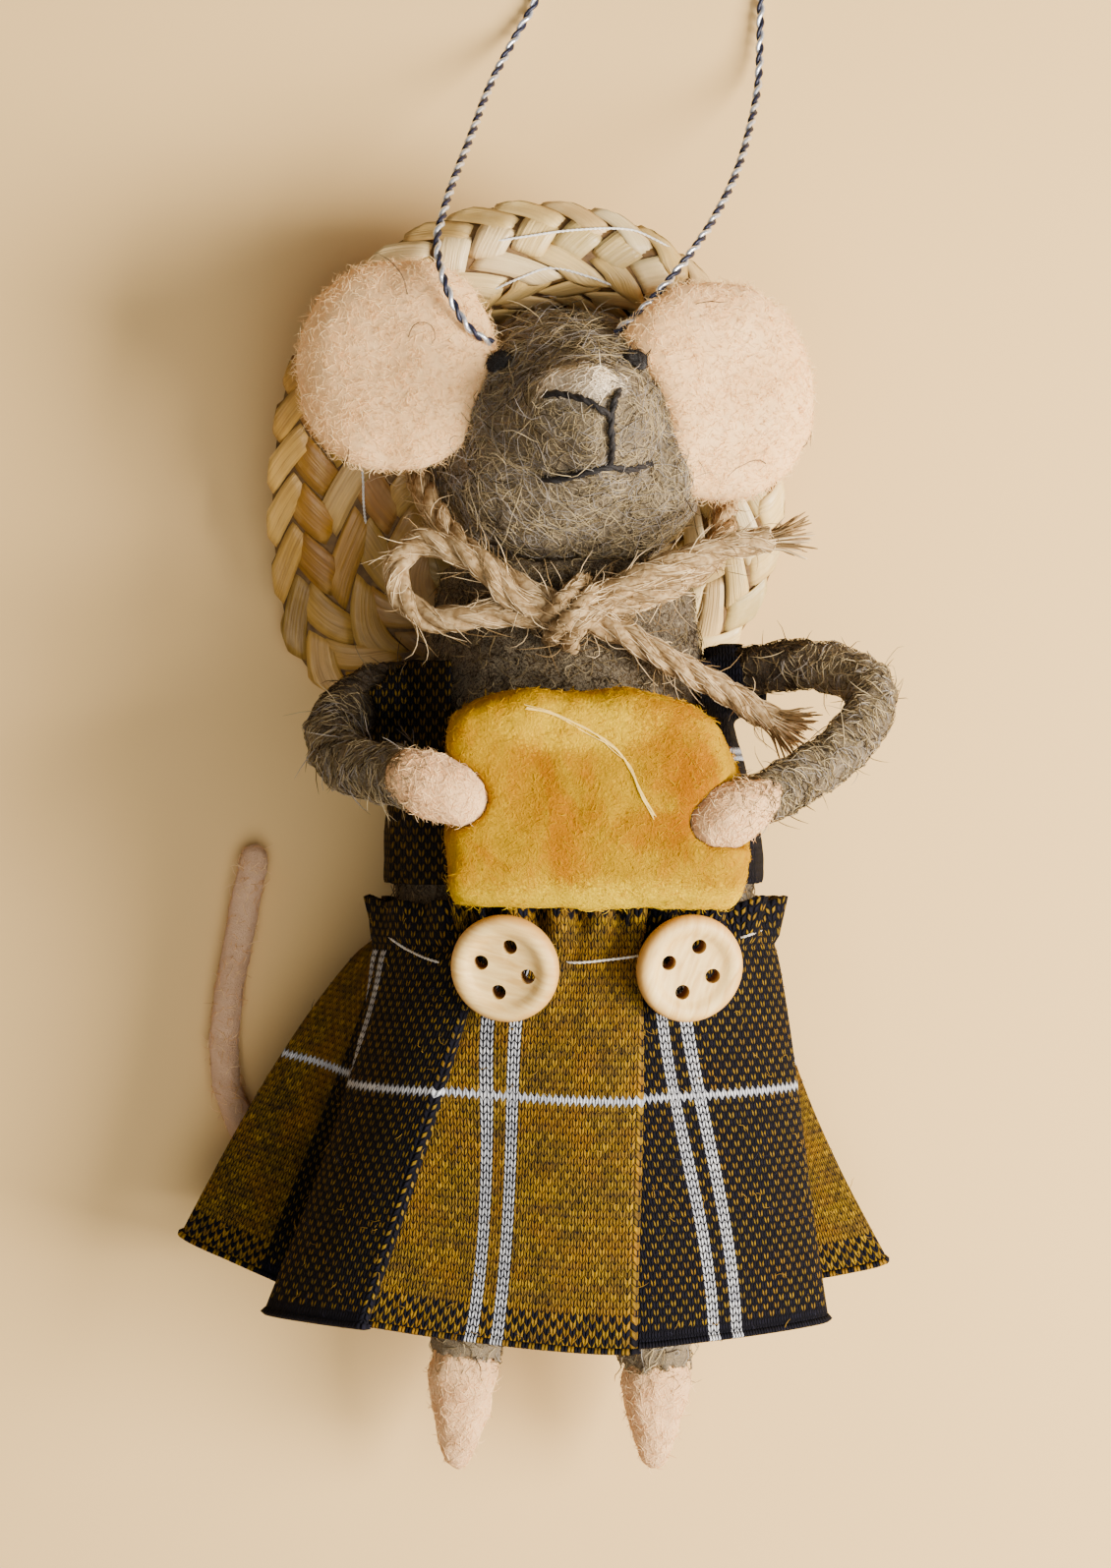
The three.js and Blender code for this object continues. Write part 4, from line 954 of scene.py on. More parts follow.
def onHat(turn, inward, lift):
    # A place on the straw, lifted off its middle towards the head, or away from it.
    place = turn / (2 * math.pi) * hatAround
    first = math.floor(place)
    share = place - first
    point = walkIn(first, inward).lerp(walkIn(first + 1, inward), share)
    inner = walkIn(first, inward + 0.8).lerp(walkIn(first + 1, inward + 0.8), share)
    beside = walkIn(first + 2, inward).lerp(walkIn(first + 3, inward), share)
    normal = (inner - point).cross(point - beside)
    if normal.length < 1e-6:
        normal = Vector((0, 0, 1))
    return point + normal.normalized() * lift


# The wall under the straws.
shape = bmesh.new()
bmesh.ops.create_grid(shape, x_segments=hatAround, y_segments=40, size=0.5)
for vert in shape.verts:
    turn, share = (vert.co.x + 0.5) * 2 * math.pi, 0.03 + (vert.co.y + 0.5) * 0.96
    vert.co = hatPoint(share, turn)
bmesh.ops.remove_doubles(shape, verts=shape.verts, dist=0.01)
crownMiddle = Vector((hat["crownX"], hat["crownY"], hat["wall"] / 2))
bmesh.ops.holes_fill(shape, edges=[e for e in shape.edges if e.is_boundary
                                   and (e.verts[0].co - crownMiddle).length < 3])
bmesh.ops.recalc_face_normals(shape, faces=shape.faces)
hatWall = objectFrom(shape, "hatWall")
thicken = hatWall.modifiers.new("wall", "SOLIDIFY")
thicken.thickness = hat["lining"]
thicken.offset = 0
settle(hatWall)

# One straw as it lies over two others: a thin strip with rounded edges, longer than it is wide.
strawLong = 1.72 * hat["straw"] + hat["overlap"]
shape = bmesh.new()
bmesh.ops.create_cube(shape, size=1)
bmesh.ops.scale(shape, vec=(strawLong, hat["straw"] * 0.97, hat["thick"]), verts=shape.verts)
lengthways = [e for e in shape.edges if abs(e.verts[0].co.x - e.verts[1].co.x) > 1]
bmesh.ops.subdivide_edges(shape, edges=lengthways, cuts=7, use_grid_fill=True)
crossways = [e for e in shape.edges if abs(e.verts[0].co.y - e.verts[1].co.y) > 1]
bmesh.ops.subdivide_edges(shape, edges=crossways, cuts=3, use_grid_fill=True)
strawVerts = [v.co.copy() for v in shape.verts]
strawMesh = bpy.data.meshes.new("straw")
shape.to_mesh(strawMesh)
shape.free()


def weave(name, facing, seed):
    # Straws in both slanting directions, each over two and under two, in rows round the hat.
    rng = random.Random(seed)
    woven = bmesh.new()
    tint = woven.verts.layers.float.new("tint")
    along = woven.verts.layers.float_vector.new("along")
    pitch = hat["straw"] * math.sqrt(2)
    for row in range(hat["rows"]):
        middle = (row + 0.5) * hat["row"]
        # The row's radius, which falls slower on the crown's wall than on the brim.
        radius = max(5.5, 27.5 - middle) if row < 2 else max(4.5, 22 - (middle - 9) * 0.62)
        count = max(6, round(2 * math.pi * radius / pitch))
        for column in range(count):
            for side in (0, 1):
                # Each band of slanting straws is half a row high, and mirrors the next one.
                slant = math.radians(45 if side else -45)
                x = (column + 0.25 * side) * pitch
                y = hat["row"] * (row + 0.25 + 0.5 * side) - 0.1
                shade = rng.random()
                bend = rng.uniform(-0.08, 0.08)
                high = rng.uniform(-0.05, 0.08)
                woven.from_mesh(strawMesh)
                woven.verts.ensure_lookup_table()
                start = len(woven.verts) - len(strawVerts)
                for number, flat in enumerate(strawVerts):
                    vert = woven.verts[start + number]
                    p, q = flat.x, flat.y * (1 - 0.1 * (2 * flat.x / strawLong) ** 4)
                    px = p * math.cos(slant + bend) - q * math.sin(slant + bend)
                    py = p * math.sin(slant + bend) + q * math.cos(slant + bend)
                    arch = math.cos(math.pi * p / strawLong) ** 0.7 if abs(2 * p) < strawLong else 0
                    lift = 0.42 + high + hat["bulge"] * arch - 0.08 * (2 * q / hat["straw"]) ** 4
                    lift -= 0.28 * smoothed((abs(2 * p / strawLong) - 0.75) / 0.25)
                    lift += flat.z + 0.12 * (p / strawLong)
                    turn = (x + px) / (count * pitch) * 2 * math.pi
                    vert.co = onHat(turn, y + py * 0.98, facing * lift)
                    vert[tint] = shade
                    vert[along] = (p + shade * 97, q, shade * 31)
    bmesh.ops.recalc_face_normals(woven, faces=woven.faces)
    return objectFrom(woven, name)


strawInside = weave("strawInside", 1, 111)
strawOutside = weave("strawOutside", -1, 112)


def strawMaterial():
    # Each straw has a colour of its own; those on the left and lower side are deeper gold and darker, partly
    # the straw's own tone and partly painted shade.
    material, tree, shader = newMaterial("strawBright", {"Roughness": 0.38, "Specular IOR Level": 0.5})
    tint = addNode(tree, "ShaderNodeAttribute", attribute_name="tint").outputs["Fac"]
    along = addNode(tree, "ShaderNodeAttribute", attribute_name="along").outputs["Vector"]
    ramp = addNode(tree, "ShaderNodeValToRGB", {"Fac": tint})
    stops = [(0.0, paint(240, 212, 152)), (0.2, paint(184, 144, 66)), (0.38, paint(150, 112, 36)),
             (0.54, paint(222, 188, 120)), (0.7, paint(124, 106, 44)), (0.85, paint(172, 126, 70)),
             (1.0, paint(248, 232, 190))]
    bar = ramp.color_ramp.elements
    while len(bar) < len(stops):
        bar.new(0.5)
    for element, (place, colour) in zip(bar, stops):
        element.position = place
        element.color = colour
    stretch = addNode(tree, "ShaderNodeMapping", {"Vector": along, "Scale": (0.16, 4.2, 1)}).outputs[0]
    inputs = {"Vector": stretch, "Scale": 1.0, "Detail": 3.0}
    streaks = addNode(tree, "ShaderNodeTexNoise", inputs).outputs[0]
    inputs = {"Vector": along, "Scale": 0.5, "Detail": 2.0}
    blotch = addNode(tree, "ShaderNodeTexNoise", inputs).outputs[0]
    colour = mixed(tree, spanned(tree, streaks, 0.35, 0.7, 0.0, 0.5), ramp.outputs[0], paint(96, 60, 14))
    colour = mixed(tree, spanned(tree, blotch, 0.5, 0.8, 0.0, 0.4), colour, paint(232, 208, 158))
    # Left and lower straws are multiplied darker and deeper gold: gold straw and painted shade.
    place = addNode(tree, "ShaderNodeSeparateXYZ", {0: inMillimetres(tree)}).outputs
    side = maths(tree, "ADD", place[0], maths(tree, "MULTIPLY", place[1], 0.25))
    pale = spanned(tree, side, -14.0, 14.0)
    goldenAndShaded = mixed(tree, 0.8, colour, paint(238, 208, 128), "MULTIPLY")
    creamy = mixed(tree, 0.34, colour, paint(255, 222, 146))
    feed(tree, shader.inputs["Base Color"], mixed(tree, pale, goldenAndShaded, creamy))
    feed(tree, shader.inputs["Roughness"], spanned(tree, streaks, 0.3, 0.7, 0.3, 0.52))
    addBump(tree, shader, streaks, 0.6, 0.25)
    return material


strawBright = strawMaterial()
wallDark = yarnMaterial("strawWall", paint(120, 88, 42), paint(84, 58, 26), {"Roughness": 0.7}, 0.8)
putInPlace(hatWall, "straw", [wallDark], ["straw_hat"])
putInPlace(strawInside, "straw", [strawBright])
putInPlace(strawOutside, "straw", [strawBright])


# Knitted stitches: each is a V in a column, and every other one is marked for a second yarn.
knitStitch, at, out = newGroup(
    "knitStitch",
    [("Cloth", "NodeSocketVector", None), ("Wide", "NodeSocketFloat", 0.74),
     ("High", "NodeSocketFloat", 0.84)],
    [("Across", "NodeSocketFloat"), ("Up", "NodeSocketFloat"), ("Other", "NodeSocketFloat"),
     ("Gap", "NodeSocketFloat"), ("Chance", "NodeSocketFloat"), ("Height", "NodeSocketFloat")],
)


def stitchMaths(*facts):
    return maths(knitStitch, *facts)


clothParts = addNode(knitStitch, "ShaderNodeSeparateXYZ", {0: at["Cloth"]}).outputs
column = stitchMaths("DIVIDE", clothParts[0], at["Wide"])
columnNumber = stitchMaths("FLOOR", column)
fromMiddle = stitchMaths("ABSOLUTE", stitchMaths("SUBTRACT", stitchMaths("FRACT", column), 0.5))
climb = stitchMaths("MULTIPLY", fromMiddle, 1.3)
course = stitchMaths("SUBTRACT", stitchMaths("DIVIDE", clothParts[1], at["High"]), climb)
courseNumber = stitchMaths("FLOOR", course)
onCourse = stitchMaths("FRACT", course)
bothNumbers = stitchMaths("ADD", columnNumber, courseNumber)
legWay = stitchMaths("ABSOLUTE", stitchMaths("SUBTRACT", fromMiddle, 0.26))
leg = spanned(knitStitch, legWay, 0.08, 0.26, 1.0, 0.0)
across = stitchMaths("ABSOLUTE", stitchMaths("SUBTRACT", onCourse, 0.5))
loop = spanned(knitStitch, across, 0.25, 0.52, 1.0, 0.0)
relief = stitchMaths("MULTIPLY", leg, loop)
numbers = addNode(knitStitch, "ShaderNodeCombineXYZ", {0: columnNumber, 1: courseNumber}).outputs[0]
noise = addNode(knitStitch, "ShaderNodeTexWhiteNoise", {"Vector": numbers}, noise_dimensions="3D")
feed(knitStitch, out["Across"], stitchMaths("MULTIPLY", stitchMaths("ADD", columnNumber, 0.5), at["Wide"]))
feed(knitStitch, out["Up"], stitchMaths("MULTIPLY", stitchMaths("ADD", courseNumber, 0.5), at["High"]))
feed(knitStitch, out["Other"], stitchMaths("FLOORED_MODULO", bothNumbers, 2.0))
feed(knitStitch, out["Gap"], stitchMaths("SUBTRACT", 1.0, relief))
feed(knitStitch, out["Chance"], noise.outputs["Value"])
feed(knitStitch, out["Height"], relief)


def within(tree, value, low, high):
    # 1 where low < value < high.
    above = maths(tree, "GREATER_THAN", value, low)
    return maths(tree, "MULTIPLY", above, maths(tree, "LESS_THAN", value, high))


def clothPlace(tree):
    return addNode(tree, "ShaderNodeUVMap", uv_map="cloth").outputs[0]


def yarnTones(tree, stitch, cloth, dark, light, streak):
    # Melange yarn: a colour by stitch, and streaks along the courses.
    stretch = addNode(tree, "ShaderNodeMapping", {"Vector": cloth, "Scale": (0.16, 0.85, 1)}).outputs[0]
    streaks = addNode(tree, "ShaderNodeTexNoise", {"Vector": stretch, "Scale": 1.0, "Detail": 3.0,
                                                   "Roughness": 0.7}).outputs[0]
    colour = mixed(tree, stitch["Chance"], dark, light)
    return mixed(tree, spanned(tree, streaks, 0.35, 0.68, 0.0, 0.75), colour, streak)


plaid = {
    "column": 34.0, "firstColumn": -1.5, "stripeMiddle": 17.0, "stripeApart": 1.72, "stripeHalf": 0.76,
    "lineUp": 27.3, "lineHalf": 0.84, "hemBand": 3.4, "topBand": 47.6,
    "stripeTop": 43.5, "specks": 0.6,
    "gold": (paint(100, 76, 2), paint(160, 122, 6), paint(76, 54, 30)),
    "navy": (paint(9, 9, 17), paint(22, 21, 32), paint(16, 13, 16)),
    "white": (paint(184, 184, 188), paint(228, 227, 226), paint(156, 158, 166)),
}


def plaidMaterial():
    material, tree, shader = newMaterial("plaidKnit", {"Roughness": 0.95, "Specular IOR Level": 0.1})
    cloth = clothPlace(tree)
    stitch = useGroup(tree, knitStitch, {"Cloth": cloth})
    across = maths(tree, "SUBTRACT", stitch["Across"], plaid["firstColumn"])
    twoColumns = maths(tree, "FLOORED_MODULO", across, 2 * plaid["column"])
    darkColumn = maths(tree, "GREATER_THAN", twoColumns, plaid["column"])
    oneColumn = maths(tree, "FLOORED_MODULO", across, plaid["column"])
    fromStripes = maths(tree, "ABSOLUTE", maths(tree, "SUBTRACT", oneColumn, plaid["stripeMiddle"]))
    onStripe = maths(tree, "ABSOLUTE", maths(tree, "SUBTRACT", fromStripes, plaid["stripeApart"]))
    up = stitch["Up"]
    stripe = maths(tree, "MULTIPLY", maths(tree, "LESS_THAN", onStripe, plaid["stripeHalf"]),
                   maths(tree, "LESS_THAN", up, plaid["stripeTop"]))
    fromLine = maths(tree, "ABSOLUTE", maths(tree, "SUBTRACT", up, plaid["lineUp"]))
    line = maths(tree, "LESS_THAN", fromLine, plaid["lineHalf"])
    band = maths(tree, "MAXIMUM", maths(tree, "LESS_THAN", up, plaid["hemBand"]),
                 maths(tree, "GREATER_THAN", up, plaid["topBand"]))
    solid = maths(tree, "LESS_THAN", up, plaid["hemBand"] * 0.34)
    gold = yarnTones(tree, stitch, cloth, *plaid["gold"])
    navy = yarnTones(tree, stitch, cloth, *plaid["navy"])
    white = yarnTones(tree, stitch, cloth, *plaid["white"])
    mixOnDark = maths(tree, "MAXIMUM", stitch["Other"], solid)
    mixOnGold = maths(tree, "MULTIPLY", stitch["Other"], band)
    isNavy = maths(tree, "ADD", maths(tree, "MULTIPLY", darkColumn, mixOnDark),
                   maths(tree, "MULTIPLY", maths(tree, "SUBTRACT", 1.0, darkColumn), mixOnGold))
    # Some gold stitches are nearly navy, and some orange.
    speck = spanned(tree, stitch["Chance"], plaid["specks"], plaid["specks"] + 0.1, 0.0, 0.62)
    gold = mixed(tree, maths(tree, "MULTIPLY", speck, stitch["Other"]), gold, paint(26, 20, 12))
    warm = addNode(tree, "ShaderNodeTexNoise", {"Vector": cloth, "Scale": 0.22, "Detail": 3.0}).outputs[0]
    gold = mixed(tree, spanned(tree, warm, 0.45, 0.7, 0.0, 0.45), gold, paint(152, 98, 0))
    gold = mixed(tree, maths(tree, "MULTIPLY", darkColumn, 0.38), gold, paint(66, 58, 16))
    colour = mixed(tree, isNavy, gold, navy)
    isWhite = maths(tree, "MAXIMUM", stripe, line)
    colour = mixed(tree, isWhite, colour, white)
    # Navy shows between the stitches, most in the dark columns and behind every other stitch.
    share = maths(tree, "MAXIMUM", spanned(tree, stitch["Other"], 0.0, 1.0, 0.35, 1.0), darkColumn)
    share = maths(tree, "MAXIMUM", share, stripe)
    share = maths(tree, "MULTIPLY", share, spanned(tree, line, 0.0, 1.0, 1.0, 0.55))
    wide = maths(tree, "MULTIPLY", darkColumn, maths(tree, "SUBTRACT", 1.0, isWhite))
    gap = maths(tree, "ADD", stitch["Gap"], maths(tree, "MULTIPLY", wide, 0.22))
    seen = maths(tree, "MULTIPLY", spanned(tree, gap, 0.3, 0.7), share)
    colour = mixed(tree, seen, colour, paint(10, 9, 15))
    feed(tree, shader.inputs["Base Color"], colour)
    fluff = addNode(tree, "ShaderNodeTexNoise", {"Vector": cloth, "Scale": 5.0, "Detail": 2.0}).outputs[0]
    height = maths(tree, "ADD", stitch["Height"], maths(tree, "MULTIPLY", fluff, 0.35))
    addBump(tree, shader, height, 0.9, 0.32)
    return material


topKnit = {
    "plainFrom": 14.0,
    "gold": (paint(84, 64, 6), paint(112, 84, 14), paint(70, 52, 14)),
    "shoulder": {"x": (16.6, 18.6), "y": (16.0, 24.0)},
    "side": {"x": 20.0, "y": (8.8, 10.4)},
    "white": paint(206, 210, 224),
}


def darkKnitMaterial():
    material, tree, shader = newMaterial("darkKnit", {"Roughness": 0.95, "Specular IOR Level": 0.1})
    cloth = clothPlace(tree)
    stitch = useGroup(tree, knitStitch, {"Cloth": cloth})
    place = addNode(tree, "ShaderNodeSeparateXYZ", {0: inMillimetres(tree)}).outputs
    rightSide = maths(tree, "GREATER_THAN", place[0], topKnit["plainFrom"])
    gold = yarnTones(tree, stitch, cloth, *topKnit["gold"])
    navy = yarnTones(tree, stitch, cloth, *plaid["navy"])
    rare = maths(tree, "MULTIPLY", maths(tree, "SUBTRACT", 1.0, stitch["Other"]),
                 maths(tree, "SUBTRACT", 1.0, rightSide))
    colour = mixed(tree, rare, navy, gold)
    shoulder = maths(tree, "MULTIPLY", within(tree, place[0], *topKnit["shoulder"]["x"]),
                     within(tree, place[1], *topKnit["shoulder"]["y"]))
    low = maths(tree, "MULTIPLY", within(tree, place[1], *topKnit["side"]["y"]),
                maths(tree, "GREATER_THAN", place[0], topKnit["side"]["x"]))
    colour = mixed(tree, maths(tree, "MAXIMUM", shoulder, low), colour, topKnit["white"])
    colour = mixed(tree, spanned(tree, stitch["Gap"], 0.2, 0.7), colour, paint(6, 6, 11))
    feed(tree, shader.inputs["Base Color"], colour)
    addBump(tree, shader, stitch["Height"], 0.9, 0.32)
    return material


print("skirt")
skirt = {
    "cloth": 0.62, "long": 44.5, "cinchY": -12.6, "frill": 5.2, "ripple": 1.5, "lean": 1.1,
    "step": 0.85, "rows": 54, "seed": 122, "gather": 0.34, "sag": 0.35, "pinch": 0.45, "room": 0.35,
    # Edges that bow out to the side: their place on the hem, how wide, and how far.
    "sway": [(-19.0, 8.0, 2.0), (-47.0, 6.0, -2.2), (97.0, 7.0, -2.4)],
    # Where the knit is pulled aside, so that its stripes go round the left fold.
    "pull": 1.0, "pullAt": -17.0, "pullWide": 6.0,
    "waist": {"x": 4.05, "z": 21.75, "halfWidth": 21.2, "halfDepth": 20.35, "deeper": 1.07,
              "back": 1.4, "stand": 0.85},
    # From the seam at the back, up the left, across the front and down the right: the hem's point,
    # the angle round the waist, how far it stands off there, and the place on the cloth at hem and waist.
    "folds": [
        ((3.4, -46.6, 0.5), -90, 0.0, -96, -96), ((-6.9, -46.0, 1.85), -108, 0.0, -84, -84),
        ((-18.9, -45.4, 5.8), -128, 0.6, -72, -72), ((-32.7, -46.0, 6.1), -146, 0.3, -58, -58),
        ((-42.2, -47.6, 8.6), -163, 2.7, -47.5, -48), ((-43.0, -47.9, 10.0), -167, 2.8, -45.8, -46),
        ((-37.0, -50.6, 11.0), -173, 1.4, -39, -40), ((-31.0, -53.2, 11.6), -179.5, 0.2, -32.6, -35),
        ((-28.8, -53.8, 14.4), -182, 0.4, -29.4, -33), ((-29.6, -54.3, 21.4), -185.5, 1.1, -22.4, -28),
        ((-31.4, -54.7, 27.2), -189, 1.8, -17.1, -23), ((-31.5, -54.8, 29.6), -193, 2.1, -15.1, -20.5),
        ((-26.2, -55.0, 35.0), -216, 1.8, -9.2, -12.5), ((-21.0, -55.2, 38.9), -242, 1.9, -2.8, -3.4),
        ((-20.0, -55.2, 39.5), -244, 1.9, -2.0, -2.6), ((-20.1, -55.2, 38.8), -243.6, 1.2, -1.4, -1.8),
        ((-21.6, -55.1, 37.6), -236, 0.9, 0.2, 4), ((-21.9, -55.1, 37.0), -235.6, 0.6, 0.5, 5.5),
        ((-21.5, -55.1, 36.6), -236.5, 0.3, 0.9, 7), ((-19.6, -55.2, 36.9), -246.5, 0.3, 2.4, 13.4),
        ((-12.0, -56.1, 39.0), -256, 0.7, 9.8, 17), ((-2.5, -57.0, 41.1), -266, 1.0, 19.5, 21.6),
        ((5.0, -57.5, 42.4), -278, 1.4, 27.0, 27.4), ((9.8, -57.6, 43.1), -287, 1.8, 31.7, 31.7),
        ((10.7, -57.6, 42.8), -288, 1.7, 32.3, 32.3), ((10.3, -57.5, 42.1), -287.4, 1.1, 32.9, 33.4),
        ((8.4, -57.3, 41.2), -284, 0.8, 35.1, 38), ((8.0, -57.3, 40.6), -283.4, 0.5, 35.6, 40),
        ((8.6, -57.2, 40.3), -284, 0.2, 36.4, 42), ((11.4, -57.2, 40.7), -290, 0.2, 39.2, 46.4),
        ((17.0, -56.8, 39.2), -300, 0.6, 45.2, 50.8), ((25.2, -56.2, 35.6), -321, 1.3, 54.4, 58),
        ((31.8, -55.6, 31.6), -338, 2.2, 62.2, 64.2), ((33.0, -55.4, 29.6), -342, 2.3, 64.4, 65.4),
        ((31.6, -55.1, 26.6), -346, 1.8, 67.8, 67.2), ((28.2, -54.6, 20.5), -354, 1.0, 74.8, 73),
        ((25.4, -54.0, 15.2), -364, 0.3, 80.8, 80), ((26.8, -53.6, 12.6), -367, 0.5, 83.7, 83),
        ((31.6, -52.9, 11.0), -370, 0.9, 88.8, 88), ((36.8, -52.0, 10.6), -375, 1.9, 94.1, 93.5),
        ((41.2, -51.0, 10.0), -382, 3.0, 98.6, 98), ((40.6, -50.6, 8.8), -386, 2.7, 100, 100),
        ((28.4, -48.2, 1.6), -408, 0.4, 114, 113), ((14.6, -47.0, 0.6), -430, 0.0, 128, 127),
        ((3.4, -46.6, 0.5), -450, 0.0, 139, 138),
    ],
    "fuzz": {"seed": 121, "count": 2000, "long": (0.6, 1.8), "steps": 3, "curl": 0.5, "loose": 0.3,
             "lift": 0.12, "width": 0.07, "wools": 2},
}


def roundWaist(y, angle, stand):
    # A place round the waist. The back is flat, where the figure lies on it.
    ring = skirt["waist"]
    turn = math.radians(angle)
    deeper = ring["deeper"] if math.sin(turn) < 0 else 1
    x = ring["x"] + (ring["halfWidth"] + stand) * math.cos(turn)
    z = ring["z"] + (ring["halfDepth"] * deeper + stand) * math.sin(turn)
    return Vector((x, y, max(z, ring["back"] - stand)))


def offTorso(point, room):
    # Moves a point of the cloth out to where it clears the felt.
    near, facing, _, far = torsoTree.find_nearest(point)
    if near is not None and far < 14 and (point - near).dot(facing) < room:
        point = near + facing * room
    point.z = max(point.z, skirt["cloth"] / 2)
    return point


# One column of cloth for each step along the hem.
clothColumns = []
hems = [Vector(fold[0]) for fold in skirt["folds"]]
ends = [hems[0] * 2 - hems[1], *hems, hems[-1] * 2 - hems[-2]]
for number, (fold, after) in enumerate(zip(skirt["folds"], skirt["folds"][1:])):
    a, b, c, d = ends[number:number + 4]
    reach = (c - b).length / 3
    count = max(2, round((c - b).length / skirt["step"]))
    curve = interpolate_bezier(
        b, b + (c - a).normalized() * reach, c - (d - b).normalized() * reach, c, count + 1)
    last = number == len(hems) - 2
    for k in range(count + last):
        share = k / count
        facts = [blend(p, q, share) for p, q in zip(fold[1:], after[1:])]
        clothColumns.append((curve[k], *facts))

# The hem's roll: out from the cloth, down past the hem, and the place on the knit.
hemRolls = [(0.0, 0.35, -0.35), (0.28, 0.5, -0.7), (0.6, 0.3, -1.0)]
frillSteps = [0.2, 0.4, 0.62, 0.82, 1.0]
clothRows = skirt["rows"] + 1 + len(hemRolls) + len(frillSteps)
shape = bmesh.new()
bmesh.ops.create_grid(shape, x_segments=len(clothColumns) - 1, y_segments=clothRows - 1, size=0.5)
shape.verts.ensure_lookup_table()
clothMap = shape.loops.layers.uv.new("cloth")
clothSpots = {}
rng = random.Random(skirt["seed"])
waves = [(rng.uniform(0, 6.28), rng.uniform(0.9, 1.5)) for _ in range(4)]
for vert in shape.verts:
    column = round((vert.co.x + 0.5) * (len(clothColumns) - 1))
    row = round((vert.co.y + 0.5) * (clothRows - 1))
    hem, angle, stand, atHem, atWaist = clothColumns[column]
    before = clothColumns[max(0, column - 1)][0]
    behind = clothColumns[min(len(clothColumns) - 1, column + 1)][0]
    waist = roundWaist(skirt["cinchY"], angle, skirt["waist"]["stand"] + stand)
    down = (hem - waist).normalized()
    facing = down.cross((behind - before).normalized())
    long = (hem - waist).length
    gather = skirt["gather"] * sum(math.sin(atWaist * pace + phase) for phase, pace in waves) / 2
    if row < len(hemRolls):
        out, lower, up = hemRolls[len(hemRolls) - 1 - row]
        point = hem + facing * out + down * lower
        spot = (atHem, up)
    elif row <= len(hemRolls) + skirt["rows"]:
        share = 1 - (row - len(hemRolls)) / skirt["rows"]
        point = waist.lerp(hem, share)
        sag = skirt["sag"] * math.sin(math.pi * share) * math.sin(atHem * 0.21 + 2.0 * share + 1.0)
        pinch = -skirt["pinch"] * math.exp(-((share * long) / 1.1) ** 2)
        point += facing * (sag + pinch + gather * math.exp(-share * long / 5.0))
        bowed = math.sin(math.pi * share ** 0.75)
        for middle, wide, sideways in skirt["sway"]:
            point.x += sideways * math.exp(-((atHem - middle) / wide) ** 2) * bowed
        point = offTorso(point, skirt["room"])
        pull = 1 + skirt["pull"] * math.exp(-((atHem - skirt["pullAt"]) / skirt["pullWide"]) ** 2)
        up = (1 - share) * long * skirt["long"] / max(long, 38)
        spot = (blend(atWaist, atHem, smoothed(share * pull)), up)
    else:
        share = frillSteps[row - len(hemRolls) - skirt["rows"] - 1]
        top = roundWaist(skirt["cinchY"] + skirt["frill"], angle, 1.9 + skirt["lean"] * stand / 2.8)
        wave = sum(math.sin(atWaist * pace * 0.8 + phase) for phase, pace in waves) / 2
        ripple = skirt["ripple"] * share * wave
        middle = Vector((skirt["waist"]["x"], top.y, skirt["waist"]["z"]))
        point = waist.lerp(top, share) + Vector((0, 0.35 * ripple, 0))
        point += (top - middle).normalized() * ripple
        spot = (atWaist, skirt["long"] + skirt["frill"] * share)
    point.z = max(point.z, skirt["cloth"] / 2)
    vert.co = point
    clothSpots[vert.index] = spot
for face in shape.faces:
    for loop in face.loops:
        loop[clothMap].uv = clothSpots[loop.vert.index]
bmesh.ops.remove_doubles(shape, verts=shape.verts, dist=0.02)
if sum(f.normal.z * f.calc_area() for f in shape.faces if f.calc_center_median().z > 30) < 0:
    bmesh.ops.reverse_faces(shape, faces=shape.faces)
skirtCloth = objectFrom(shape, "skirtCloth")
flatLong = sum((b[0] - a[0]).length for a, b in zip(clothColumns, clothColumns[1:]))
skirtTree = treeOf(skirtCloth)
thicken = skirtCloth.modifiers.new("thickness", "SOLIDIFY")
thicken.thickness = skirt["cloth"]
thicken.offset = 0
settle(skirtCloth)
goldFibre = fibreMaterial("goldFibre", paint(140, 106, 26))
navyFibre = fibreMaterial("navyFibre", paint(30, 28, 40))
skirtFuzz = strewFibres("skirtFuzz", skirtCloth, skirt["fuzz"])
putInPlace(skirtCloth, "skirt_knit", [plaidMaterial()], ["skirt"])
putInPlace(skirtFuzz, "skirt_knit", [goldFibre, navyFibre])

print("bodice")
bodice = {
    "felt": {"voxel": 0.5, "smooth": 5, "lumps": [(3.0, 0.35)]},
    "flat": (0.118, 0.031),  # metres
    "middle": (4.0, 21.7), "round": 21.5, "sleeveFrom": 13,
}
bodiceCloth = feltOver(copyOf("bodiceCloth", "bodice"), bodice["felt"])
mesh = bodiceCloth.data
clothUv = mesh.uv_layers.new(name="cloth")
# The knit runs round the torso, and straight across each sleeve.
for face in mesh.polygons:
    sleeve = abs(face.center.x - bodice["middle"][0]) > bodice["sleeveFrom"] and face.normal.z > 0.4
    for number in face.loop_indices:
        x, y, z = mesh.vertices[mesh.loops[number].vertex_index].co
        turn = math.atan2(z - bodice["middle"][1], x - bodice["middle"][0])
        clothUv.data[number].uv = (x if sleeve else turn * bodice["round"], y)
putInPlace(bodiceCloth, "bodice_knit", [darkKnitMaterial()], ["bodice"])

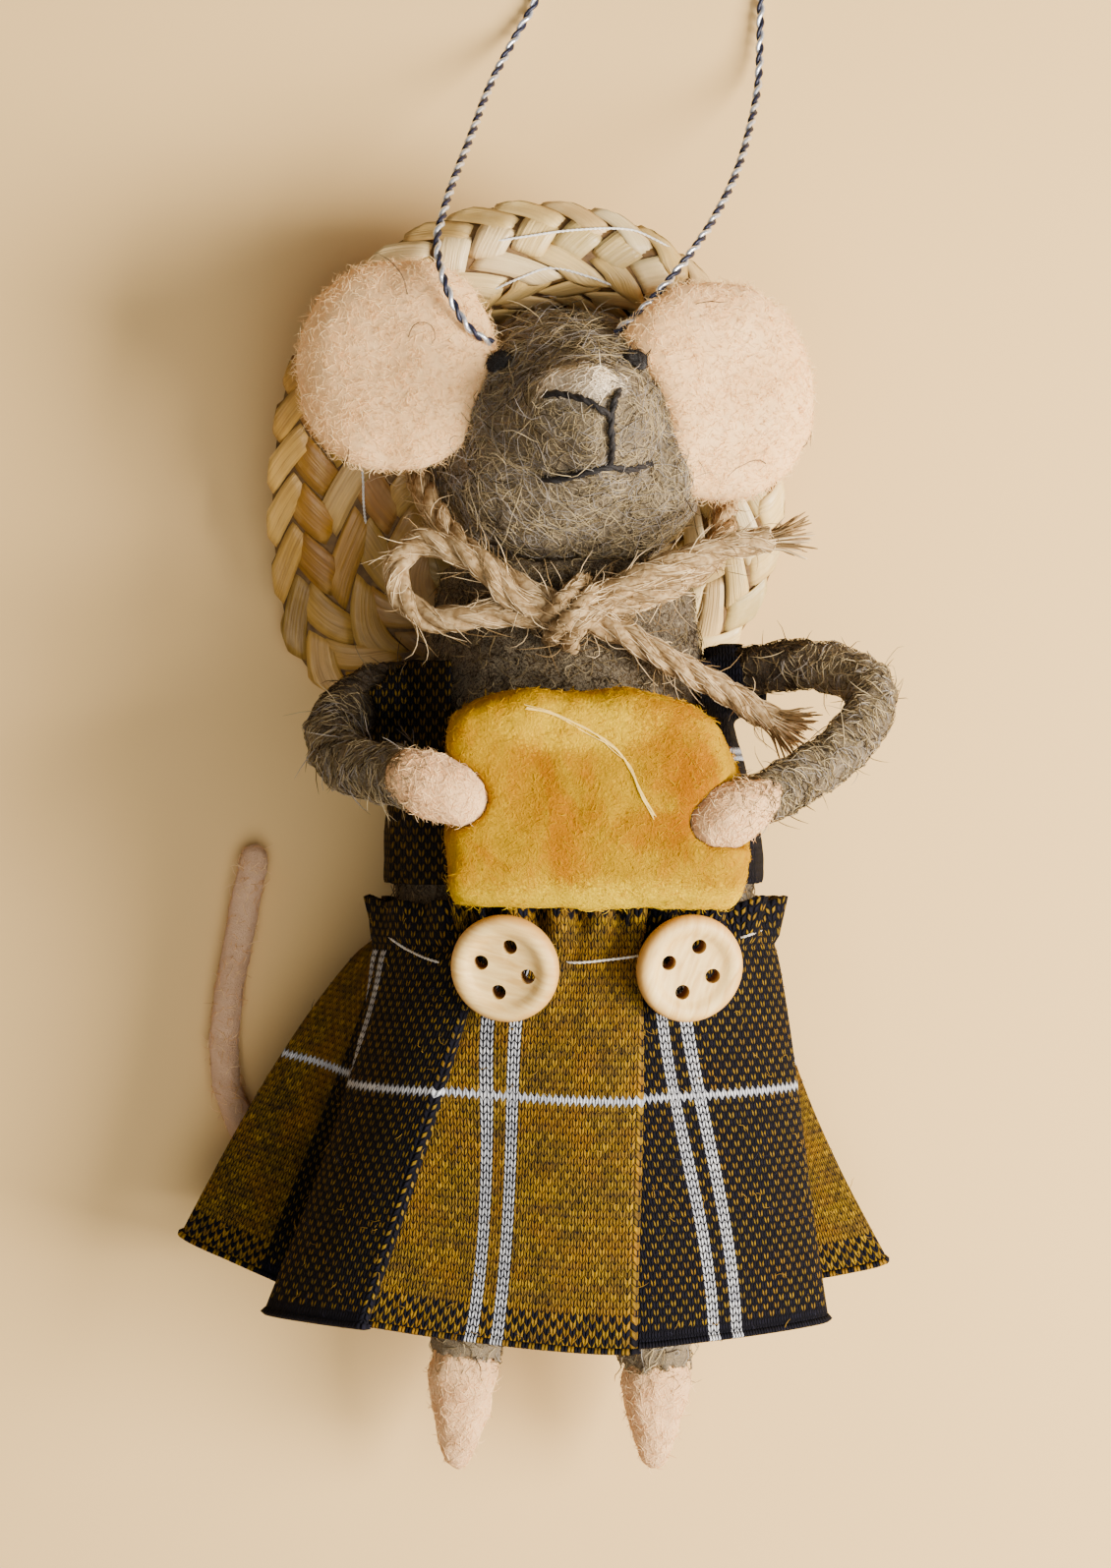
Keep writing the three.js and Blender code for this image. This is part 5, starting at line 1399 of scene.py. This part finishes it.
print("buttons")
buttons = {
    "profile": [(0, 0), (4.7, 0), (5.7, 0.35), (6.1, 0.95), (6.2, 1.6), (6.12, 2.2), (5.8, 2.68),
                (5.2, 2.9), (4.7, 2.86), (4.3, 2.68), (3.95, 2.36), (3.55, 2.16), (2.6, 2.08), (0, 2.06)],
    "hole": 0.86, "holes": 4, "holesAt": 2.76, "thick": 2.9, "softEdge": 0.12,
    "left": {"facing": (-0.22, -0.26, 1), "turn": 25, "seed": 3.0},
    "right": {"facing": (0.3, -0.24, 1), "turn": 20, "seed": 17.0},
}


def woodMaterial(name, seed):
    material, tree, shader = newMaterial(name, {"Roughness": 0.55, "Specular IOR Level": 0.35})
    turned = addNode(tree, "ShaderNodeAttribute", attribute_name="turned").outputs["Vector"]
    inputs = {"Vector": turned, "Location": (seed, seed * 0.7, 0), "Scale": (0.22, 1.5, 0.5)}
    grainPlace = addNode(tree, "ShaderNodeMapping", inputs).outputs[0]
    inputs = {"Vector": grainPlace, "Scale": 1.0, "Detail": 4.0, "Distortion": 0.6}
    grain = addNode(tree, "ShaderNodeTexNoise", inputs).outputs[0]
    inputs = {"Vector": turned, "Scale": 4.0, "Detail": 2.0}
    specks = addNode(tree, "ShaderNodeTexNoise", inputs).outputs[0]
    parts = addNode(tree, "ShaderNodeSeparateXYZ", {0: turned}).outputs
    flat = addNode(tree, "ShaderNodeCombineXYZ", {0: parts[0], 1: parts[1]}).outputs[0]
    far = addNode(tree, "ShaderNodeVectorMath", {0: flat}, operation="LENGTH").outputs["Value"]
    colour = mixed(tree, spanned(tree, grain, 0.35, 0.68), paint(230, 194, 122), paint(202, 158, 84))
    edge = spanned(tree, far, 5.3, 6.2)
    colour = mixed(tree, maths(tree, "MULTIPLY", edge, 0.8), colour, paint(184, 128, 52))
    low = spanned(tree, parts[2], 1.9, 1.0)
    inside = maths(tree, "MULTIPLY", low, maths(tree, "LESS_THAN", far, 4.2))
    colour = mixed(tree, inside, colour, paint(112, 66, 22))
    colour = mixed(tree, spanned(tree, specks, 0.6, 0.75, 0.0, 0.25), colour, paint(190, 148, 96))
    feed(tree, shader.inputs["Base Color"], colour)
    addBump(tree, shader, grain, 0.35, 0.12)
    return material


for side in ("left", "right"):
    facts = buttons[side]
    shape = bmesh.new()
    points = [shape.verts.new((r, 0, z)) for r, z in buttons["profile"]]
    edges = [shape.edges.new(pair) for pair in zip(points, points[1:])]
    bmesh.ops.spin(shape, geom=points + edges, cent=(0, 0, 0), axis=(0, 0, 1), angle=2 * math.pi,
                   steps=80, use_merge=True)
    bmesh.ops.remove_doubles(shape, verts=shape.verts, dist=0.001)
    bmesh.ops.recalc_face_normals(shape, faces=shape.faces)
    button = objectFrom(shape, f"{side}Button")
    cutter = bmesh.new()
    for number in range(buttons["holes"]):
        turn = number * 2 * math.pi / buttons["holes"]
        out = Vector((math.cos(turn), math.sin(turn), 0)) * buttons["holesAt"]
        place = Matrix.Translation(out + Vector((0, 0, 1.4)))
        bmesh.ops.create_cone(cutter, cap_ends=True, segments=22, radius1=buttons["hole"],
                              radius2=buttons["hole"], depth=6, matrix=place)
    drill = objectFrom(cutter, f"{side}Drill")
    holes = button.modifiers.new("holes", "BOOLEAN")
    holes.object = drill
    holes.operation = "DIFFERENCE"
    holes.solver = "EXACT"
    bpy.context.view_layer.update()
    settle(button)
    bpy.data.objects.remove(drill)
    softEdge = button.modifiers.new("softEdge", "BEVEL")
    softEdge.width = buttons["softEdge"]
    softEdge.segments = 2
    softEdge.limit_method = "ANGLE"
    softEdge.angle_limit = math.radians(55)
    settle(button)
    turned = button.data.attributes.new("turned", "FLOAT_VECTOR", "POINT")
    turned.data.foreach_set("vector", [value for v in button.data.vertices for value in v.co])
    low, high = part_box(f"button_{side}")
    facing = Vector(facts["facing"]).normalized()
    place = Matrix.Translation((low + high) / 2 / mm) @ facing.to_track_quat("Z", "Y").to_matrix().to_4x4()
    button.data.transform(place @ Matrix.Rotation(math.radians(facts["turn"]), 4, "Z")
                          @ Matrix.Translation((0, 0, -buttons["thick"] / 2)))
    wood = woodMaterial(f"{side}ButtonWood", facts["seed"])
    putInPlace(button, "button_wood", [wood], [f"button_{side}"])
    button.data.set_sharp_from_angle(angle=math.radians(40))

print("sewing thread")
sewing = {
    "width": 0.34, "pitch": 1.1, "step": 0.3, "sunk": 0.5, "overSkirt": 0.8, "overStraw": 0.2,
    "waist": [
        [(-18.3, -11.0), (-17.0, -11.9), (-15.5, -12.8), (-12.6, -13.9), (-9.6, -14.6)],
        [(1.6, -13.9), (4.4, -14.0), (7.6, -13.7), (10.8, -13.3), (12.6, -12.9)],
        [(22.0, -11.8), (24.0, -11.2), (25.8, -10.8)],
    ],
    "hat": [
        [(-7.6, 69.6), (-2.0, 70.4), (4.0, 71.2), (10.4, 71.4), (13.6, 70.2), (16.2, 68.8)],
        [(-6.4, 64.0), (-2.6, 65.6), (1.1, 66.8), (5.6, 65.8), (9.6, 64.4)],
        [(-21.6, 45.4), (-21.4, 42.6), (-21.4, 40.0), (-21.2, 37.0)],
    ],
}
threadSockets = {"Roughness": 0.7}
greyThread = yarnMaterial("greyThread", paint(206, 198, 184), paint(176, 168, 152), threadSockets, 4.0)
whiteThread = yarnMaterial("whiteThread", paint(240, 236, 228), paint(220, 212, 198), threadSockets, 4.0)


def sewn(name, lines, tree, lift):
    # Two-ply stitches over a surface, with both ends under it.
    threads = []
    for places in lines:
        line = [droppedOn(tree, x, y, lift) for x, y in places]
        line[0].z -= lift + sewing["sunk"]
        line[-1].z -= lift + sewing["sunk"]
        threads += twisted(smoothLine(line, sewing["step"]), 2, sewing["width"] * 0.22, sewing["pitch"])
    return tubes(name, threads, sewing["width"] * 0.3, 1)


waistThread = sewn("waistThread", sewing["waist"], skirtTree, sewing["overSkirt"])
putInPlace(waistThread, "skirt_knit", [greyThread])
shape = bmesh.new()
for part in (strawInside, hatWall):
    shape.from_mesh(part.data)
bmesh.ops.scale(shape, vec=(1 / mm, 1 / mm, 1 / mm), verts=shape.verts)
hatTree = BVHTree.FromBMesh(shape)
shape.free()
hatThread = sewn("hatThread", sewing["hat"], hatTree, sewing["overStraw"])
putInPlace(hatThread, "straw", [whiteThread])


print("floor")
paper = {"size": 3, "under": 0.1 * mm, "colour": paint(224, 186, 124)}
bpy.ops.mesh.primitive_plane_add(size=paper["size"], location=(0, 0, -paper["under"]))
floor = bpy.context.object
floor.name = "floor"
floorFinish, tree, shader = newMaterial("floorPaper", {"Roughness": 0.9, "Specular IOR Level": 0.1})
shader.inputs["Base Color"].default_value = paper["colour"]
floor.data.materials.append(floorFinish)
